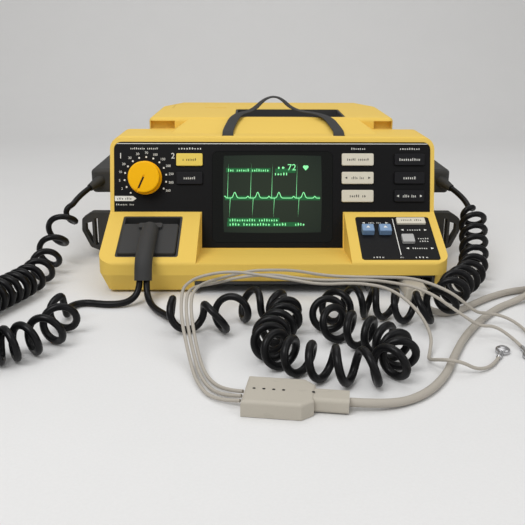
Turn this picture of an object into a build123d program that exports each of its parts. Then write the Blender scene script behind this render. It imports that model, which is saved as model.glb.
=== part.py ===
from build123d import *
import math
import os

# Portable monitor, defibrillator and pacer. Millimetres, +Z up, +X to the right as the user
# faces the panel, +Y away from the user. The origin is on the bench under the middle of the case.

# ---------------------------------------------------------------- driving sizes
CASE_HALF_WIDTH = 175.0
CASE_FRONT_Y = -177.5
CASE_BACK_Y = 177.5
FOOT_HEIGHT = 3.0
PARTING_Z = 21.0
WALL = 3.0
CASE_CORNER_RADIUS = 14.0
TRAY_INSET = 8.0
FIT = 0.3

DECK_FRONT_Z = 34.0
DECK_BACK_Y = -96.0
DECK_BACK_Z = 66.0
HOUSING_BACK_Y = -8.0
LIP_Z = 144.0
PANEL_TILT = 15.9
RECESS_HALF_WIDTH = 77.5
RECESS_FLOOR_Z = 27.5
RAIL_BACK_Y = -129.0
RAIL_FRONT_Z = 33.0
SHELF_Z = 30.0

HUMP_HALF_WIDTH = 142.0
HUMP_TOP_Z = 157.0
HUMP_CHAMFER_Y = 122.0
HUMP_BACK_HALF_WIDTH = 121.0
RAMP_FRONT_Y = -50.0

PANEL_THICKNESS = 3.0
PANEL_SINK = 0.6
PANEL_MARGIN = 4.5
PANEL_LEDGE = 3.0
PANEL_TOP = 75.0
PANEL_BOTTOM = -38.8

KEY_PROUD = 1.8
KEY_DEPTH = 9.0
KEY_RADIUS = 1.6
BOARD_DEPTH = 13.0
BOARD_THICKNESS = 1.6
KEY_ROWS = (56.5, 36.7, 17.2)
LEFT_KEYS_X = -89.5
LEFT_KEY_SIZE = (28.4, 13.4)
MIDDLE_KEYS_X = 92.0
MIDDLE_KEY_SIZE = (34.4, 13.0)
RIGHT_KEYS_X = 148.0
RIGHT_KEY_SIZE = (32.6, 12.6)

KNOB_X = -137.0
KNOB_UP = 36.4
KNOB_RADIUS = 18.0
KNOB_HEIGHT = 15.0
KNOB_REST_ANGLE = 204.0
SHAFT_RADIUS = 3.0
SHAFT_CLEARANCE = 0.05

WINDOW_WIDTH = 130.0
WINDOW_HEIGHT = 98.0
WINDOW_UP = 16.0
WINDOW_THICKNESS = 2.0
TUBE_FACE_WIDTH = 126.0
TUBE_FACE_HEIGHT = 94.0
TUBE_UP = 16.0
TUBE_LENGTH = 138.0
TUBE_NECK_RADIUS = 10.0

PAD_X = 127.5
PAD_DOWN = -46.2
PAD_WIDTH = 78.0
PAD_LENGTH = 73.0
PAD_THICKNESS = 2.5
PAD_KEYS = {
    "rate_key": (99.0, -35.5, 12.4, 12.0, 6.0),
    "output_key": (117.0, -35.5, 12.4, 12.0, 6.0),
    "pacer_key": (146.7, -18.2, 30.5, 10.4, 2.5),
    "pacer_start_key": (138.8, -50.0, 12.6, 13.2, 3.5),
}

SOCKET_X = -127.5
SOCKET_DOWN = -43.4
SOCKET_WIDTH = 63.0
SOCKET_LENGTH = 70.0
SOCKET_DEPTH = 15.0
PLUG_WIDTH = 57.0
PLUG_LENGTH = 50.0
PLUG_TOP = 3.0

BAY_LEFT_X = -79.0
BAY_STEP_X = 92.0
BAY_RIGHT_X = 161.0
BAY_LOW_Z = 13.5
BAY_BACK_Y = -140.0
BAY_WALL = 2.5

WELL_CENTRE = (22.0, 42.0)
WELL_SIZE = (130.0, 88.0)
WELL_DEPTH = 22.0
STRAP_WIDTH = 12.0
STRAP_THICKNESS = 2.4

STRAP_POINTS = [
    (-48.6, -66.0, 138.0), (-48.6, -61.0, 146.2), (-48.6, -46.0, 148.2), (-41.0, -4.0, 160.2), (-22.0, 8.0, 162.4),
    (-6.0, 14.0, 178.0), (10.0, 14.0, 179.0), (26.0, 8.0, 163.0), (63.0, -5.0, 160.0),
    (73.0, -46.0, 148.2), (73.0, -61.0, 146.2), (73.0, -66.0, 138.0),
]

DOOR_LEFT_X = -126.0
DOOR_RIGHT_X = -14.0
DOOR_FRONT_Y = 97.0
DOOR_BACK_Y = 146.0
DOOR_THICKNESS = 3.0
DOOR_GAP = 0.6
DOOR_BACK_GAP = 1.2
HINGE_RADIUS = 1.2
HINGE_CLEARANCE = 0.05
HINGE_Y = DOOR_BACK_Y - DOOR_BACK_GAP - 1.6
HINGE_Z = 155.0
HINGE_PIN_LENGTH = 4.0
ROLL_RADIUS = 15.0
ROLL_WIDTH = 50.0

PLATE_INSET = 27.0
PLATE_INNER_X = CASE_HALF_WIDTH - PLATE_INSET
PLATE_THICKNESS = 12.0
PLATE_FRONT_Y = 14.0
PLATE_BACK_Y = 114.0
PLATE_BOTTOM_Z = 30.3
PLATE_TOP_Z = 126.0
GRIP_STANDOFF = 9.0
GRIP_WIDTH = 31.0
GRIP_INNER_X = CASE_HALF_WIDTH + GRIP_STANDOFF
GRIP_OUTER_X = GRIP_INNER_X + GRIP_WIDTH
GRIP_FRONT_Y = 0.0
GRIP_BACK_Y = 118.0
GRIP_BOTTOM_Z = 66.0
GRIP_TOP_Z = 95.0
GRIP_POST_LENGTH = 26.0
ELECTRODE_RADIUS = 40.0
ELECTRODE_THICKNESS = 2.5
THUMB_BUTTON_RADIUS = 8.0
THUMB_BUTTON_PROUD = 3.5
CRADLE_HEIGHT = 8.0
GUARD_Y = -40.0
GUARD_THICKNESS = 12.0

CORD_DIAMETER = 6.5
COIL_DIAMETER = 32.0
COIL_FLOOR_Z = COIL_DIAMETER / 2 + 0.3
TRUNK_DIAMETER = 6.5
LEAD_DIAMETER = 2.8

SCREW_HEAD_RADIUS = 4.0
SCREW_SHANK_RADIUS = 2.0
FOOT_RADIUS = 11.0

DECK_ANGLE = math.degrees(math.atan2(DECK_BACK_Z - DECK_FRONT_Z, DECK_BACK_Y - CASE_FRONT_Y))
TILT = math.radians(PANEL_TILT)
SLOPE = math.radians(DECK_ANGLE)
LIP_Y = DECK_BACK_Y + (LIP_Z - DECK_BACK_Z) * math.tan(TILT)

# The panel's frame has its x to the right and its y up the panel, with zero on the deck line.
# The deck's frame has its y up the slope, so places on the deck are negative.
PANEL = Plane(origin=(0, DECK_BACK_Y, DECK_BACK_Z), x_dir=(1, 0, 0), z_dir=(0, -math.cos(TILT), math.sin(TILT)))
DECK = Plane(origin=(0, DECK_BACK_Y, DECK_BACK_Z), x_dir=(1, 0, 0), z_dir=(0, -math.sin(SLOPE), math.cos(SLOPE)))

os.makedirs("parts", exist_ok=True)


# ---------------------------------------------------------------- helpers
def save(name, shape):
    """Write one node."""
    shape.label = name
    export_step(shape, f"parts/{name}.step")


def block(x0, x1, y0, y1, z0, z1):
    """A plain box between two corners."""
    return Pos((x0 + x1) / 2, (y0 + y1) / 2, (z0 + z1) / 2) * Box(x1 - x0, y1 - y0, z1 - z0)


def plate(plane, x, y, width, height, radius, low, high):
    """A plate with round corners, between two heights over a plane."""
    return extrude(plane * Pos(x, y, low) * RectangleRounded(width, height, radius), high - low)


def disc(plane, x, y, radius, low, high):
    """A round plate between two heights over a plane."""
    return extrude(plane * Pos(x, y, low) * Circle(radius), high - low)


def side_prism(points, x0, x1):
    """A profile in Y and Z, carried along X."""
    face = make_face(Polyline(*[(x0, y, z) for y, z in points], close=True))
    return extrude(face, x1 - x0, dir=(1, 0, 0))


def front_prism(points, y0, y1):
    """A profile in X and Z, carried along Y."""
    face = make_face(Polyline(*[(x, y0, z) for x, z in points], close=True))
    return extrude(face, y1 - y0, dir=(0, 1, 0))


def plan_prism(points, z0, z1):
    """An outline in X and Y, carried up."""
    face = make_face(Polyline(*[(x, y, z0) for x, y in points], close=True))
    return extrude(face, z1 - z0, dir=(0, 0, 1))


def plan_block(half_width, y0, y1, z0, z1, radius):
    """A block with round upright edges, about the X middle."""
    outline = Pos(0, (y0 + y1) / 2, z0) * RectangleRounded(2 * half_width, y1 - y0, radius)
    return extrude(outline, z1 - z0)


def corner_radii(points):
    """The radius at each corner: as large as the shorter run beside it allows."""
    radii = []
    for before, corner, after in zip(points, points[1:], points[2:]):
        run_in = Vector(*corner) - Vector(*before)
        run_out = Vector(*after) - Vector(*corner)
        half_turn = math.radians(run_in.get_angle(run_out)) / 2
        radii.append(0.45 * min(run_in.length, run_out.length) / math.tan(half_turn))
    return radii


def tube(name, points, diameter):
    """A round tube along straight runs joined by tangent arcs."""
    radii = corner_radii(points)
    path = FilletPolyline(*points, radius=radii)
    start = Plane(origin=path @ 0, z_dir=path % 0)
    solid = sweep(start * Circle(diameter / 2), path=path)
    section = math.pi * diameter ** 2 / 4
    ratio = solid.volume / (section * path.length)
    print(f"{name}: {path.length:.0f} long, least radius {min(radii):.1f}, volume ratio {ratio:.4f}")
    return solid


def mirrored(shape):
    """The same piece on the other side of the case."""
    return mirror(shape, about=Plane.YZ)


# ---------------------------------------------------------------- outlines
def panel_outline(margin):
    """The panel's face: a full-width upper part and a narrower lower part, grown by a margin."""
    half = CASE_HALF_WIDTH - PANEL_MARGIN + margin
    upper = Pos(0, (PANEL_TOP + margin) / 2) * RectangleRounded(2 * half, PANEL_TOP + margin, 8.0)
    square = Pos(0, 6) * Rectangle(2 * half, 12)
    lower_half = RECESS_HALF_WIDTH - 1.5 + margin
    reach = -PANEL_BOTTOM + margin
    lower = Pos(0, -reach / 2 + 1) * Rectangle(2 * lower_half, reach + 2)
    return upper + square + lower


def panel_slab(margin, low, high):
    """The panel's outline as a slab between two heights over the panel's plane."""
    return extrude(PANEL * Pos(0, 0, low) * panel_outline(margin), high - low)


# ---------------------------------------------------------------- fasteners' places
SCREW_PLACES = [(x, y) for x in (-160.0, 160.0) for y in (-120.0, 14.0, 164.0)]
FOOT_PLACES = [(x, y) for x in (-132.0, 132.0) for y in (-112.0, 146.0)]
TRAY_FLOOR_TOP = FOOT_HEIGHT + WALL
SCREW_HEAD_Z = FOOT_HEIGHT + 3.0
SCREW_END_Z = SHELF_Z - WALL - 0.5


def post(x, y, z0, z1, radius):
    """An upright round post."""
    return Pos(x, y, (z0 + z1) / 2) * Cylinder(radius, z1 - z0)


# ---------------------------------------------------------------- upper case
def outer_case():
    """The upper case before it is hollowed."""
    front_profile = [
        (CASE_FRONT_Y, PARTING_Z),
        (CASE_FRONT_Y, DECK_FRONT_Z),
        (DECK_BACK_Y, DECK_BACK_Z),
        (LIP_Y, LIP_Z),
        (HOUSING_BACK_Y, LIP_Z),
        (HOUSING_BACK_Y, PARTING_Z),
    ]
    front = side_prism(front_profile, -CASE_HALF_WIDTH, CASE_HALF_WIDTH)
    front_edges = front.edges().filter_by(Axis.X).filter_by_position(Axis.Z, DECK_FRONT_Z - 1, LIP_Z + 1)
    keep = [e for e in front_edges if abs(e.center().Z - DECK_BACK_Z) > 2]
    front = fillet(keep, 3.5)
    plan = plan_block(CASE_HALF_WIDTH, CASE_FRONT_Y, CASE_BACK_Y, PARTING_Z, LIP_Z + 1, CASE_CORNER_RADIUS)
    height = LIP_Z - PARTING_Z
    arch_face = Pos(0, PARTING_Z + height / 2) * RectangleRounded(2 * CASE_HALF_WIDTH, height, 13.0)
    arch_face += Pos(0, PARTING_Z + 15) * Rectangle(2 * CASE_HALF_WIDTH, 30)
    arch = extrude(Plane.XZ.offset(-CASE_FRONT_Y + 1) * arch_face, -(HOUSING_BACK_Y - CASE_FRONT_Y + 2))
    front = front & plan & arch

    shelf = plan_block(CASE_HALF_WIDTH, CASE_FRONT_Y, CASE_BACK_Y, PARTING_Z, SHELF_Z, CASE_CORNER_RADIUS)
    shelf = shelf - block(-200, 200, -250, HOUSING_BACK_Y - 2, 0, 60)

    hump_outline = [
        (-HUMP_HALF_WIDTH, HOUSING_BACK_Y - 1),
        (-HUMP_HALF_WIDTH, HUMP_CHAMFER_Y),
        (-HUMP_BACK_HALF_WIDTH, CASE_BACK_Y),
        (HUMP_BACK_HALF_WIDTH, CASE_BACK_Y),
        (HUMP_HALF_WIDTH, HUMP_CHAMFER_Y),
        (HUMP_HALF_WIDTH, HOUSING_BACK_Y - 1),
    ]
    hump = plan_prism(hump_outline, PARTING_Z, HUMP_TOP_Z)
    hump = fillet(hump.edges().filter_by(Axis.Z), 7.0)
    hump = fillet(hump.faces().sort_by(Axis.Z)[-1].edges(), 5.0)

    ramp_sides = [(-112.0, LIP_Z - 6), (-112.0, LIP_Z), (-92.0, HUMP_TOP_Z), (97.0, HUMP_TOP_Z), (117.0, LIP_Z)]
    ramp_sides.append((117.0, LIP_Z - 6))
    ramp = front_prism(ramp_sides, RAMP_FRONT_Y, 12.0)
    ramp_profile = [(RAMP_FRONT_Y, LIP_Z - 6), (RAMP_FRONT_Y, LIP_Z), (0.0, HUMP_TOP_Z), (12.0, HUMP_TOP_Z)]
    ramp_profile.append((12.0, LIP_Z - 6))
    ramp = ramp & side_prism(ramp_profile, -150.0, 150.0)
    return front + shelf + hump + ramp


def centre_recess():
    """What the case loses between its two front wings."""
    profile = [
        (DECK_BACK_Y - 10.0, RECESS_FLOOR_Z),
        (RAIL_BACK_Y, RECESS_FLOOR_Z),
        (RAIL_BACK_Y - 2.5, RECESS_FLOOR_Z + 2.0),
        (CASE_FRONT_Y - 1.0, RAIL_FRONT_Z),
        (CASE_FRONT_Y - 1.0, DECK_BACK_Z + 30.0),
        (DECK_BACK_Y + 8.0, DECK_BACK_Z + 30.0),
    ]
    cut = side_prism(profile, -RECESS_HALF_WIDTH, RECESS_HALF_WIDTH)
    in_front = extrude(PANEL * Rectangle(400, 400), 200)
    return cut & in_front


def case_hollow():
    """The space inside the upper case, with its walls left standing."""
    inner_half = CASE_HALF_WIDTH - WALL
    wing_profile = [
        (CASE_FRONT_Y + WALL, PARTING_Z - 1),
        (CASE_FRONT_Y + WALL, DECK_FRONT_Z - WALL),
        (DECK_BACK_Y, DECK_BACK_Z - WALL * 1.2),
        (DECK_BACK_Y + 20.0, DECK_BACK_Z),
        (HOUSING_BACK_Y - WALL, DECK_BACK_Z),
        (HOUSING_BACK_Y - WALL, PARTING_Z - 1),
    ]
    wings = side_prism(wing_profile, -inner_half, inner_half)
    centre = block(-RECESS_HALF_WIDTH - WALL, RECESS_HALF_WIDTH + WALL, -200, -84, RECESS_FLOOR_Z - WALL, 100)
    housing_profile = [
        (DECK_BACK_Y + 14.0, DECK_BACK_Z - 20),
        (LIP_Y + 8.0, LIP_Z - WALL),
        (HOUSING_BACK_Y - WALL, LIP_Z - WALL),
        (HOUSING_BACK_Y - WALL, DECK_BACK_Z - 20),
    ]
    housing = side_prism(housing_profile, -inner_half, inner_half)
    rounding = CASE_CORNER_RADIUS - WALL
    plan = plan_block(inner_half, CASE_FRONT_Y + WALL, CASE_BACK_Y - WALL, PARTING_Z - 2, LIP_Z, rounding)
    front = ((wings - centre) + housing) & plan
    low_centre = block(-100, 100, CASE_FRONT_Y + 14, -40, PARTING_Z - 1, RECESS_FLOOR_Z - WALL)
    shelf = plan_block(inner_half, HOUSING_BACK_Y - 5, CASE_BACK_Y - WALL, PARTING_Z - 1, SHELF_Z - WALL, rounding)
    half = HUMP_HALF_WIDTH - WALL
    hump_outline = [
        (-half, HOUSING_BACK_Y - 5),
        (-half, HUMP_CHAMFER_Y - 1),
        (-HUMP_BACK_HALF_WIDTH + WALL, CASE_BACK_Y - WALL),
        (HUMP_BACK_HALF_WIDTH - WALL, CASE_BACK_Y - WALL),
        (half, HUMP_CHAMFER_Y - 1),
        (half, HOUSING_BACK_Y - 5),
    ]
    hump = plan_prism(hump_outline, PARTING_Z - 1, LIP_Z - WALL)
    upper = plan_prism([(x, max(y, 4.0)) for x, y in hump_outline], LIP_Z - WALL - 1, HUMP_TOP_Z - WALL)
    behind_tube = block(-RECESS_HALF_WIDTH, RECESS_HALF_WIDTH, -92, -40, PARTING_Z - 1, 70)
    return front + low_centre + shelf + hump + upper + behind_tube


def front_pockets():
    """The shallow pockets in the hump's front, each side of the ramp, under an eave."""
    left = block(-HUMP_HALF_WIDTH + 2, -112, -20, 0, LIP_Z, HUMP_TOP_Z - 4)
    right = block(119, HUMP_HALF_WIDTH - 2, -20, 0, LIP_Z, HUMP_TOP_Z - 4)
    return left + right


def paddle_ribs():
    """Two moulded ribs on the right shelf, which the paddle's plate stands between."""
    outer_x = PLATE_INNER_X + PLATE_THICKNESS
    outside = block(outer_x + FIT, outer_x + 4, 40, 88, SHELF_Z - 1, SHELF_Z + CRADLE_HEIGHT)
    inside = block(HUMP_HALF_WIDTH - 1, PLATE_INNER_X - FIT - 1.5, 40, 88, SHELF_Z - 1, SHELF_Z + CRADLE_HEIGHT)
    return outside + inside


def make_upper_case():
    outer = outer_case() - centre_recess()
    bosses = Compound([post(x, y, PARTING_Z, 60, 5.5) for x, y in SCREW_PLACES])
    bosses = outer & bosses
    shell = outer - case_hollow()
    shell = shell + bosses
    opening = panel_slab(FIT, -PANEL_THICKNESS - PANEL_SINK, 30)
    inner_opening = panel_slab(-PANEL_LEDGE, -45, 1)
    inner_opening = inner_opening & block(-200, 200, -200, -50, RECESS_FLOOR_Z, LIP_Z - WALL)
    shell = shell - opening - inner_opening
    socket = plate(DECK, SOCKET_X, SOCKET_DOWN, SOCKET_WIDTH, SOCKET_LENGTH, 2.5, -SOCKET_DEPTH, 5)
    pad = plate(DECK, PAD_X, PAD_DOWN, PAD_WIDTH + 2 * FIT, PAD_LENGTH + 2 * FIT, 3.3, -PAD_THICKNESS, 8)
    pad_hole = plate(DECK, PAD_X, PAD_DOWN, PAD_WIDTH - 6, PAD_LENGTH - 6, 2.0, -20, 1)
    shell = shell - socket - pad - pad_hole
    well = block(
        WELL_CENTRE[0] - WELL_SIZE[0] / 2, WELL_CENTRE[0] + WELL_SIZE[0] / 2,
        WELL_CENTRE[1] - WELL_SIZE[1] / 2, WELL_CENTRE[1] + WELL_SIZE[1] / 2, HUMP_TOP_Z - WALL - 15, HUMP_TOP_Z + 5,
    )
    well = fillet(well.edges().filter_by(Axis.Z), 5.0)
    door = block(DOOR_LEFT_X, DOOR_RIGHT_X, DOOR_FRONT_Y, DOOR_BACK_Y, HUMP_TOP_Z - WALL - 1, HUMP_TOP_Z + 5)
    shell = shell - well - door - front_pockets()
    for x, y in SCREW_PLACES:
        shell = shell - post(x, y, PARTING_Z - 1, SCREW_END_Z + 1, SCREW_SHANK_RADIUS + 0.1)
    bay = block(BAY_STEP_X - FIT, BAY_RIGHT_X + FIT, CASE_FRONT_Y - 1, BAY_BACK_Y + FIT, 0, PARTING_Z)
    shell = shell - bay
    ear_top = HUMP_TOP_Z - WALL + 0.5
    hinge_line = Pos((DOOR_LEFT_X + DOOR_RIGHT_X) / 2, HINGE_Y, HINGE_Z) * Rot(0, 90, 0)
    for low, high in ((DOOR_LEFT_X - 7, DOOR_LEFT_X - 0.2), (DOOR_RIGHT_X + 0.2, DOOR_RIGHT_X + 7)):
        shell = shell + block(low, high, HINGE_Y - 3, HINGE_Y + 3, HINGE_Z - 4, ear_top)
    pin_reach = DOOR_RIGHT_X - DOOR_LEFT_X + 2 * HINGE_PIN_LENGTH + 1
    shell = shell - hinge_line * Cylinder(HINGE_RADIUS + HINGE_CLEARANCE, pin_reach)
    for x, y, _ in (STRAP_POINTS[0], STRAP_POINTS[-1]):
        reach = STRAP_WIDTH / 2 + 0.5
        shell = shell - block(x - reach, x + reach, y - 2.2, y + 6.2, LIP_Z - 12, LIP_Z + 1)
    ribs = paddle_ribs()
    return shell + ribs + mirror(ribs, about=Plane.YZ)


UPPER_CASE = make_upper_case()
save("upper_case", UPPER_CASE)


# ---------------------------------------------------------------- lower tray, feet and screws
def tapered_block(half_width, y0, y1, z0, z1, radius, inset):
    """A block that narrows downwards by an inset all round."""
    angle = math.degrees(math.atan2(inset, z1 - z0))
    outline = Plane(origin=(0, (y0 + y1) / 2, z1), z_dir=(0, 0, -1)) * RectangleRounded(2 * half_width, y1 - y0, radius)
    return extrude(outline, z1 - z0, taper=angle)


def bay_block(margin, top_margin):
    """The connector bay: a low long part and a taller part on the right."""
    low = block(BAY_LEFT_X + margin, BAY_STEP_X + 1, CASE_FRONT_Y - 1, BAY_BACK_Y - margin, 0, BAY_LOW_Z - top_margin)
    high = block(BAY_STEP_X + margin, BAY_RIGHT_X - margin, CASE_FRONT_Y - 1, BAY_BACK_Y - margin, 0, PARTING_Z - top_margin)
    return low + high


def make_lower_tray():
    tray = tapered_block(CASE_HALF_WIDTH, CASE_FRONT_Y, CASE_BACK_Y, FOOT_HEIGHT, PARTING_Z, CASE_CORNER_RADIUS, TRAY_INSET)
    half = CASE_HALF_WIDTH - WALL - TRAY_INSET
    hollow = plan_block(half, CASE_FRONT_Y + WALL + TRAY_INSET, CASE_BACK_Y - WALL - TRAY_INSET, TRAY_FLOOR_TOP, 40, 6)
    bay_wall = bay_block(-WALL, -WALL) & block(-200, 200, CASE_FRONT_Y + 4, 0, FOOT_HEIGHT, PARTING_Z)
    tray = tray - hollow
    tray = tray + bay_wall
    tray = tray - bay_block(-FIT, -FIT)
    for x, y in SCREW_PLACES:
        tray = tray + post(x, y, FOOT_HEIGHT, PARTING_Z, 6.5)
        tray = tray - post(x, y, 0, SCREW_HEAD_Z + 2.5, SCREW_HEAD_RADIUS + 0.3)
        tray = tray - post(x, y, 0, PARTING_Z + 1, SCREW_SHANK_RADIUS + 0.1)
    for x, y in FOOT_PLACES:
        tray = tray - post(x, y, 0, TRAY_FLOOR_TOP + 1, 3.0)
    return tray


def case_screw():
    """A pan head screw that stands upright, head down."""
    head = post(0, 0, SCREW_HEAD_Z, SCREW_HEAD_Z + 2.5, SCREW_HEAD_RADIUS)
    slot = block(-3, 3, -0.5, 0.5, SCREW_HEAD_Z - 1, SCREW_HEAD_Z + 1)
    shank = post(0, 0, SCREW_HEAD_Z + 2, SCREW_END_Z, SCREW_SHANK_RADIUS)
    return head + shank - slot


def rubber_foot():
    """A round foot with a stem pressed into the tray."""
    pad = post(0, 0, 0, FOOT_HEIGHT, FOOT_RADIUS)
    pad = chamfer(pad.edges().sort_by(Axis.Z)[0], 0.8)
    return pad + post(0, 0, FOOT_HEIGHT - 1, TRAY_FLOOR_TOP + 1, 3.0)


LOWER_TRAY = make_lower_tray()
save("lower_tray", LOWER_TRAY)
save("case_screws", Compound([Pos(x, y, 0) * case_screw() for x, y in SCREW_PLACES]))
save("rubber_feet", Compound([Pos(x, y, 0) * rubber_foot() for x, y in FOOT_PLACES]))


# ---------------------------------------------------------------- connector bay
LEAD_PLUG_X = 139.0
LEAD_PLUG_Z = 8.5
LEAD_SOCKET_RADIUS = 4.5


def make_connector_bay():
    liner = bay_block(0, 0) & block(-200, 200, CASE_FRONT_Y + 2, 0, FOOT_HEIGHT + 0.5, 40)
    liner = liner - bay_block(BAY_WALL, BAY_WALL)
    hole = Pos(LEAD_PLUG_X, BAY_BACK_Y, LEAD_PLUG_Z) * Rot(90, 0, 0) * Cylinder(LEAD_SOCKET_RADIUS, 20)
    return liner - hole


save("connector_bay", make_connector_bay())


# ---------------------------------------------------------------- control panel
def key_places():
    """Every key on the upright panel: its name, middle and size."""
    places = {}
    for row, name in enumerate(("charge_key", "sync_key")):
        places[name] = (LEFT_KEYS_X, KEY_ROWS[row] - 0.4, *LEFT_KEY_SIZE)
    for row, name in enumerate(("lead_key", "size_key", "alarm_key")):
        places[name] = (MIDDLE_KEYS_X, KEY_ROWS[row], *MIDDLE_KEY_SIZE)
    for row, name in enumerate(("record_key", "mark_key", "trend_key")):
        places[name] = (RIGHT_KEYS_X, KEY_ROWS[row], *RIGHT_KEY_SIZE)
    return places


def make_front_panel():
    face = -PANEL_SINK
    panel = panel_slab(0, face - PANEL_THICKNESS, face)
    for x, up, width, height in key_places().values():
        panel = panel - plate(PANEL, x, up, width + 2 * FIT, height + 2 * FIT, KEY_RADIUS + FIT, -10, 5)
    panel = panel - disc(PANEL, KNOB_X, KNOB_UP, SHAFT_RADIUS + 0.5, -10, 5)
    ledge = WINDOW_THICKNESS + 0.2
    panel = panel - plate(PANEL, 0, WINDOW_UP, WINDOW_WIDTH + 2 * FIT, WINDOW_HEIGHT + 2 * FIT, 6.3, face - ledge, 5)
    return panel - plate(PANEL, 0, WINDOW_UP, WINDOW_WIDTH - 8, WINDOW_HEIGHT - 8, 4, -10, 5)


def make_window():
    low = -PANEL_SINK - WINDOW_THICKNESS - 0.2
    return plate(PANEL, 0, WINDOW_UP, WINDOW_WIDTH, WINDOW_HEIGHT, 6, low, low + WINDOW_THICKNESS)


def panel_key(x, up, width, height):
    """A key cap with a softened top edge, and its stem."""
    cap = plate(PANEL, x, up, width, height, KEY_RADIUS, -KEY_DEPTH, KEY_PROUD)
    top = cap.faces().sort_by(lambda f: (f.center() - PANEL.origin).dot(PANEL.z_dir))[-1]
    return fillet(top.edges(), 0.7)


save("front_panel", make_front_panel())
save("screen_window", make_window())
for key_name, key_place in key_places().items():
    save(key_name, panel_key(*key_place))


def make_knob():
    """The energy knob: a drum with grip flutes, a raised rib as its pointer, and a shaft bore."""
    skirt = disc(PANEL, KNOB_X, KNOB_UP, KNOB_RADIUS, 0.6, 4.0)
    body = disc(PANEL, KNOB_X, KNOB_UP, KNOB_RADIUS - 1.2, 3.0, KNOB_HEIGHT)
    crown = body.faces().sort_by(lambda f: (f.center() - PANEL.origin).dot(PANEL.z_dir))[-1]
    body = fillet(crown.edges(), 1.6)
    flutes = 28
    for i in range(flutes):
        angle = 2 * math.pi * (i + 0.5) / flutes
        reach = KNOB_RADIUS - 0.6
        body = body - disc(PANEL, KNOB_X + reach * math.sin(angle), KNOB_UP + reach * math.cos(angle), 1.1, 4.2, KNOB_HEIGHT - 2.4)
    rib_plane = PANEL * Pos(KNOB_X, KNOB_UP, 0) * Rot(0, 0, -KNOB_REST_ANGLE)
    groove = extrude(rib_plane * Pos(0, KNOB_RADIUS / 2, KNOB_HEIGHT - 1.0) * Rectangle(2.2, KNOB_RADIUS + 4), 3)
    bore = disc(PANEL, KNOB_X, KNOB_UP, SHAFT_RADIUS, -1, 11)
    return skirt + body - groove - bore


def make_shaft():
    return disc(PANEL, KNOB_X, KNOB_UP, SHAFT_RADIUS, -16, 11)


def make_rotary_switch():
    """The switch behind the knob, with wafer discs and a bush that the shaft turns in."""
    bush = disc(PANEL, KNOB_X, KNOB_UP, 5.0, -10, -PANEL_SINK - PANEL_THICKNESS)
    body = disc(PANEL, KNOB_X, KNOB_UP, 16.0, -30, -10)
    wafer = disc(PANEL, KNOB_X, KNOB_UP, 18.5, -24, -22)
    wafer_back = disc(PANEL, KNOB_X, KNOB_UP, 18.5, -29, -27)
    bore = disc(PANEL, KNOB_X, KNOB_UP, SHAFT_RADIUS + SHAFT_CLEARANCE, -17, 0)
    return body + bush + wafer + wafer_back - bore


save("energy_knob", make_knob())
save("knob_shaft", make_shaft())
save("rotary_switch", make_rotary_switch())


def make_button_boards():
    """One switch board behind the keys on each side of the screen."""
    top = -KEY_DEPTH - (BOARD_DEPTH - KEY_DEPTH)
    low = top - BOARD_THICKNESS
    right = plate(PANEL, 120, 37, 92, 58, 2, low, top)
    left = plate(PANEL, LEFT_KEYS_X, 46, 34, 40, 2, low, top)
    domes = []
    for x, up, _, _ in key_places().values():
        domes.append(disc(PANEL, x, up, 4.0, top, top + 1.5))
    return [right + [d for d in domes if d.center().X > 0], left + [d for d in domes if d.center().X < 0]]





# ---------------------------------------------------------------- picture tube
def make_picture_tube():
    """The tube: a face, a funnel and a neck along the panel's inward normal."""
    face_front = -PANEL_SINK - WINDOW_THICKNESS - 1.7
    face = plate(PANEL, 0, TUBE_UP, TUBE_FACE_WIDTH, TUBE_FACE_HEIGHT, 8, face_front - 14, face_front)
    rear = PANEL * Pos(0, TUBE_UP, face_front - 14) * RectangleRounded(TUBE_FACE_WIDTH, TUBE_FACE_HEIGHT, 8)
    neck_end = PANEL * Pos(0, TUBE_UP, face_front - 62) * Circle(TUBE_NECK_RADIUS)
    funnel = loft([rear, neck_end])
    neck = disc(PANEL, 0, TUBE_UP, TUBE_NECK_RADIUS, face_front - TUBE_LENGTH, face_front - 62)
    return face + funnel + neck


def make_tube_yoke():
    """The deflection coil round the neck."""
    ring = disc(PANEL, 0, TUBE_UP, 26, -92, -70)
    return ring - disc(PANEL, 0, TUBE_UP, TUBE_NECK_RADIUS + FIT, -100, -60)


save("picture_tube", make_picture_tube())
save("tube_yoke", make_tube_yoke())


# ---------------------------------------------------------------- pacer pad on the right wing
def make_pacer_pad():
    pad = plate(DECK, PAD_X, PAD_DOWN, PAD_WIDTH, PAD_LENGTH, 3, -PAD_THICKNESS, 0.3)
    for x, down, width, length, _ in PAD_KEYS.values():
        pad = pad - plate(DECK, x, down, width + 2 * FIT, length + 2 * FIT, 1.5, -10, 5)
    return pad


save("pacer_pad", make_pacer_pad())
for key_name, (key_x, key_down, key_width, key_length, key_proud) in PAD_KEYS.items():
    cap = plate(DECK, key_x, key_down, key_width, key_length, 1.2, -7, key_proud)
    cap_top = cap.faces().sort_by(lambda f: (f.center() - DECK.origin).dot(DECK.z_dir))[-1]
    save(key_name, fillet(cap_top.edges(), 0.8))


# ---------------------------------------------------------------- paddle socket and plug on the left wing
BOOT_X = -127.0
BOOT_RADIUS = 8.5
BOOT_POINTS = [(BOOT_X, -134.0, 57.0), (BOOT_X, -166.0, 49.0), (BOOT_X, -190.5, 39.0), (BOOT_X, -196.5, 22.0)]


def make_paddle_socket():
    """A liner that fills the recess in the left wing, open at the top."""
    width = SOCKET_WIDTH - 2 * FIT
    length = SOCKET_LENGTH - 2 * FIT
    liner = plate(DECK, SOCKET_X, SOCKET_DOWN, width, length, 2.2, -SOCKET_DEPTH, -0.4)
    cavity = plate(DECK, SOCKET_X, SOCKET_DOWN, width - 4, length - 4, 1.5, -SOCKET_DEPTH + 2.5, 5)
    return liner - cavity


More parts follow.
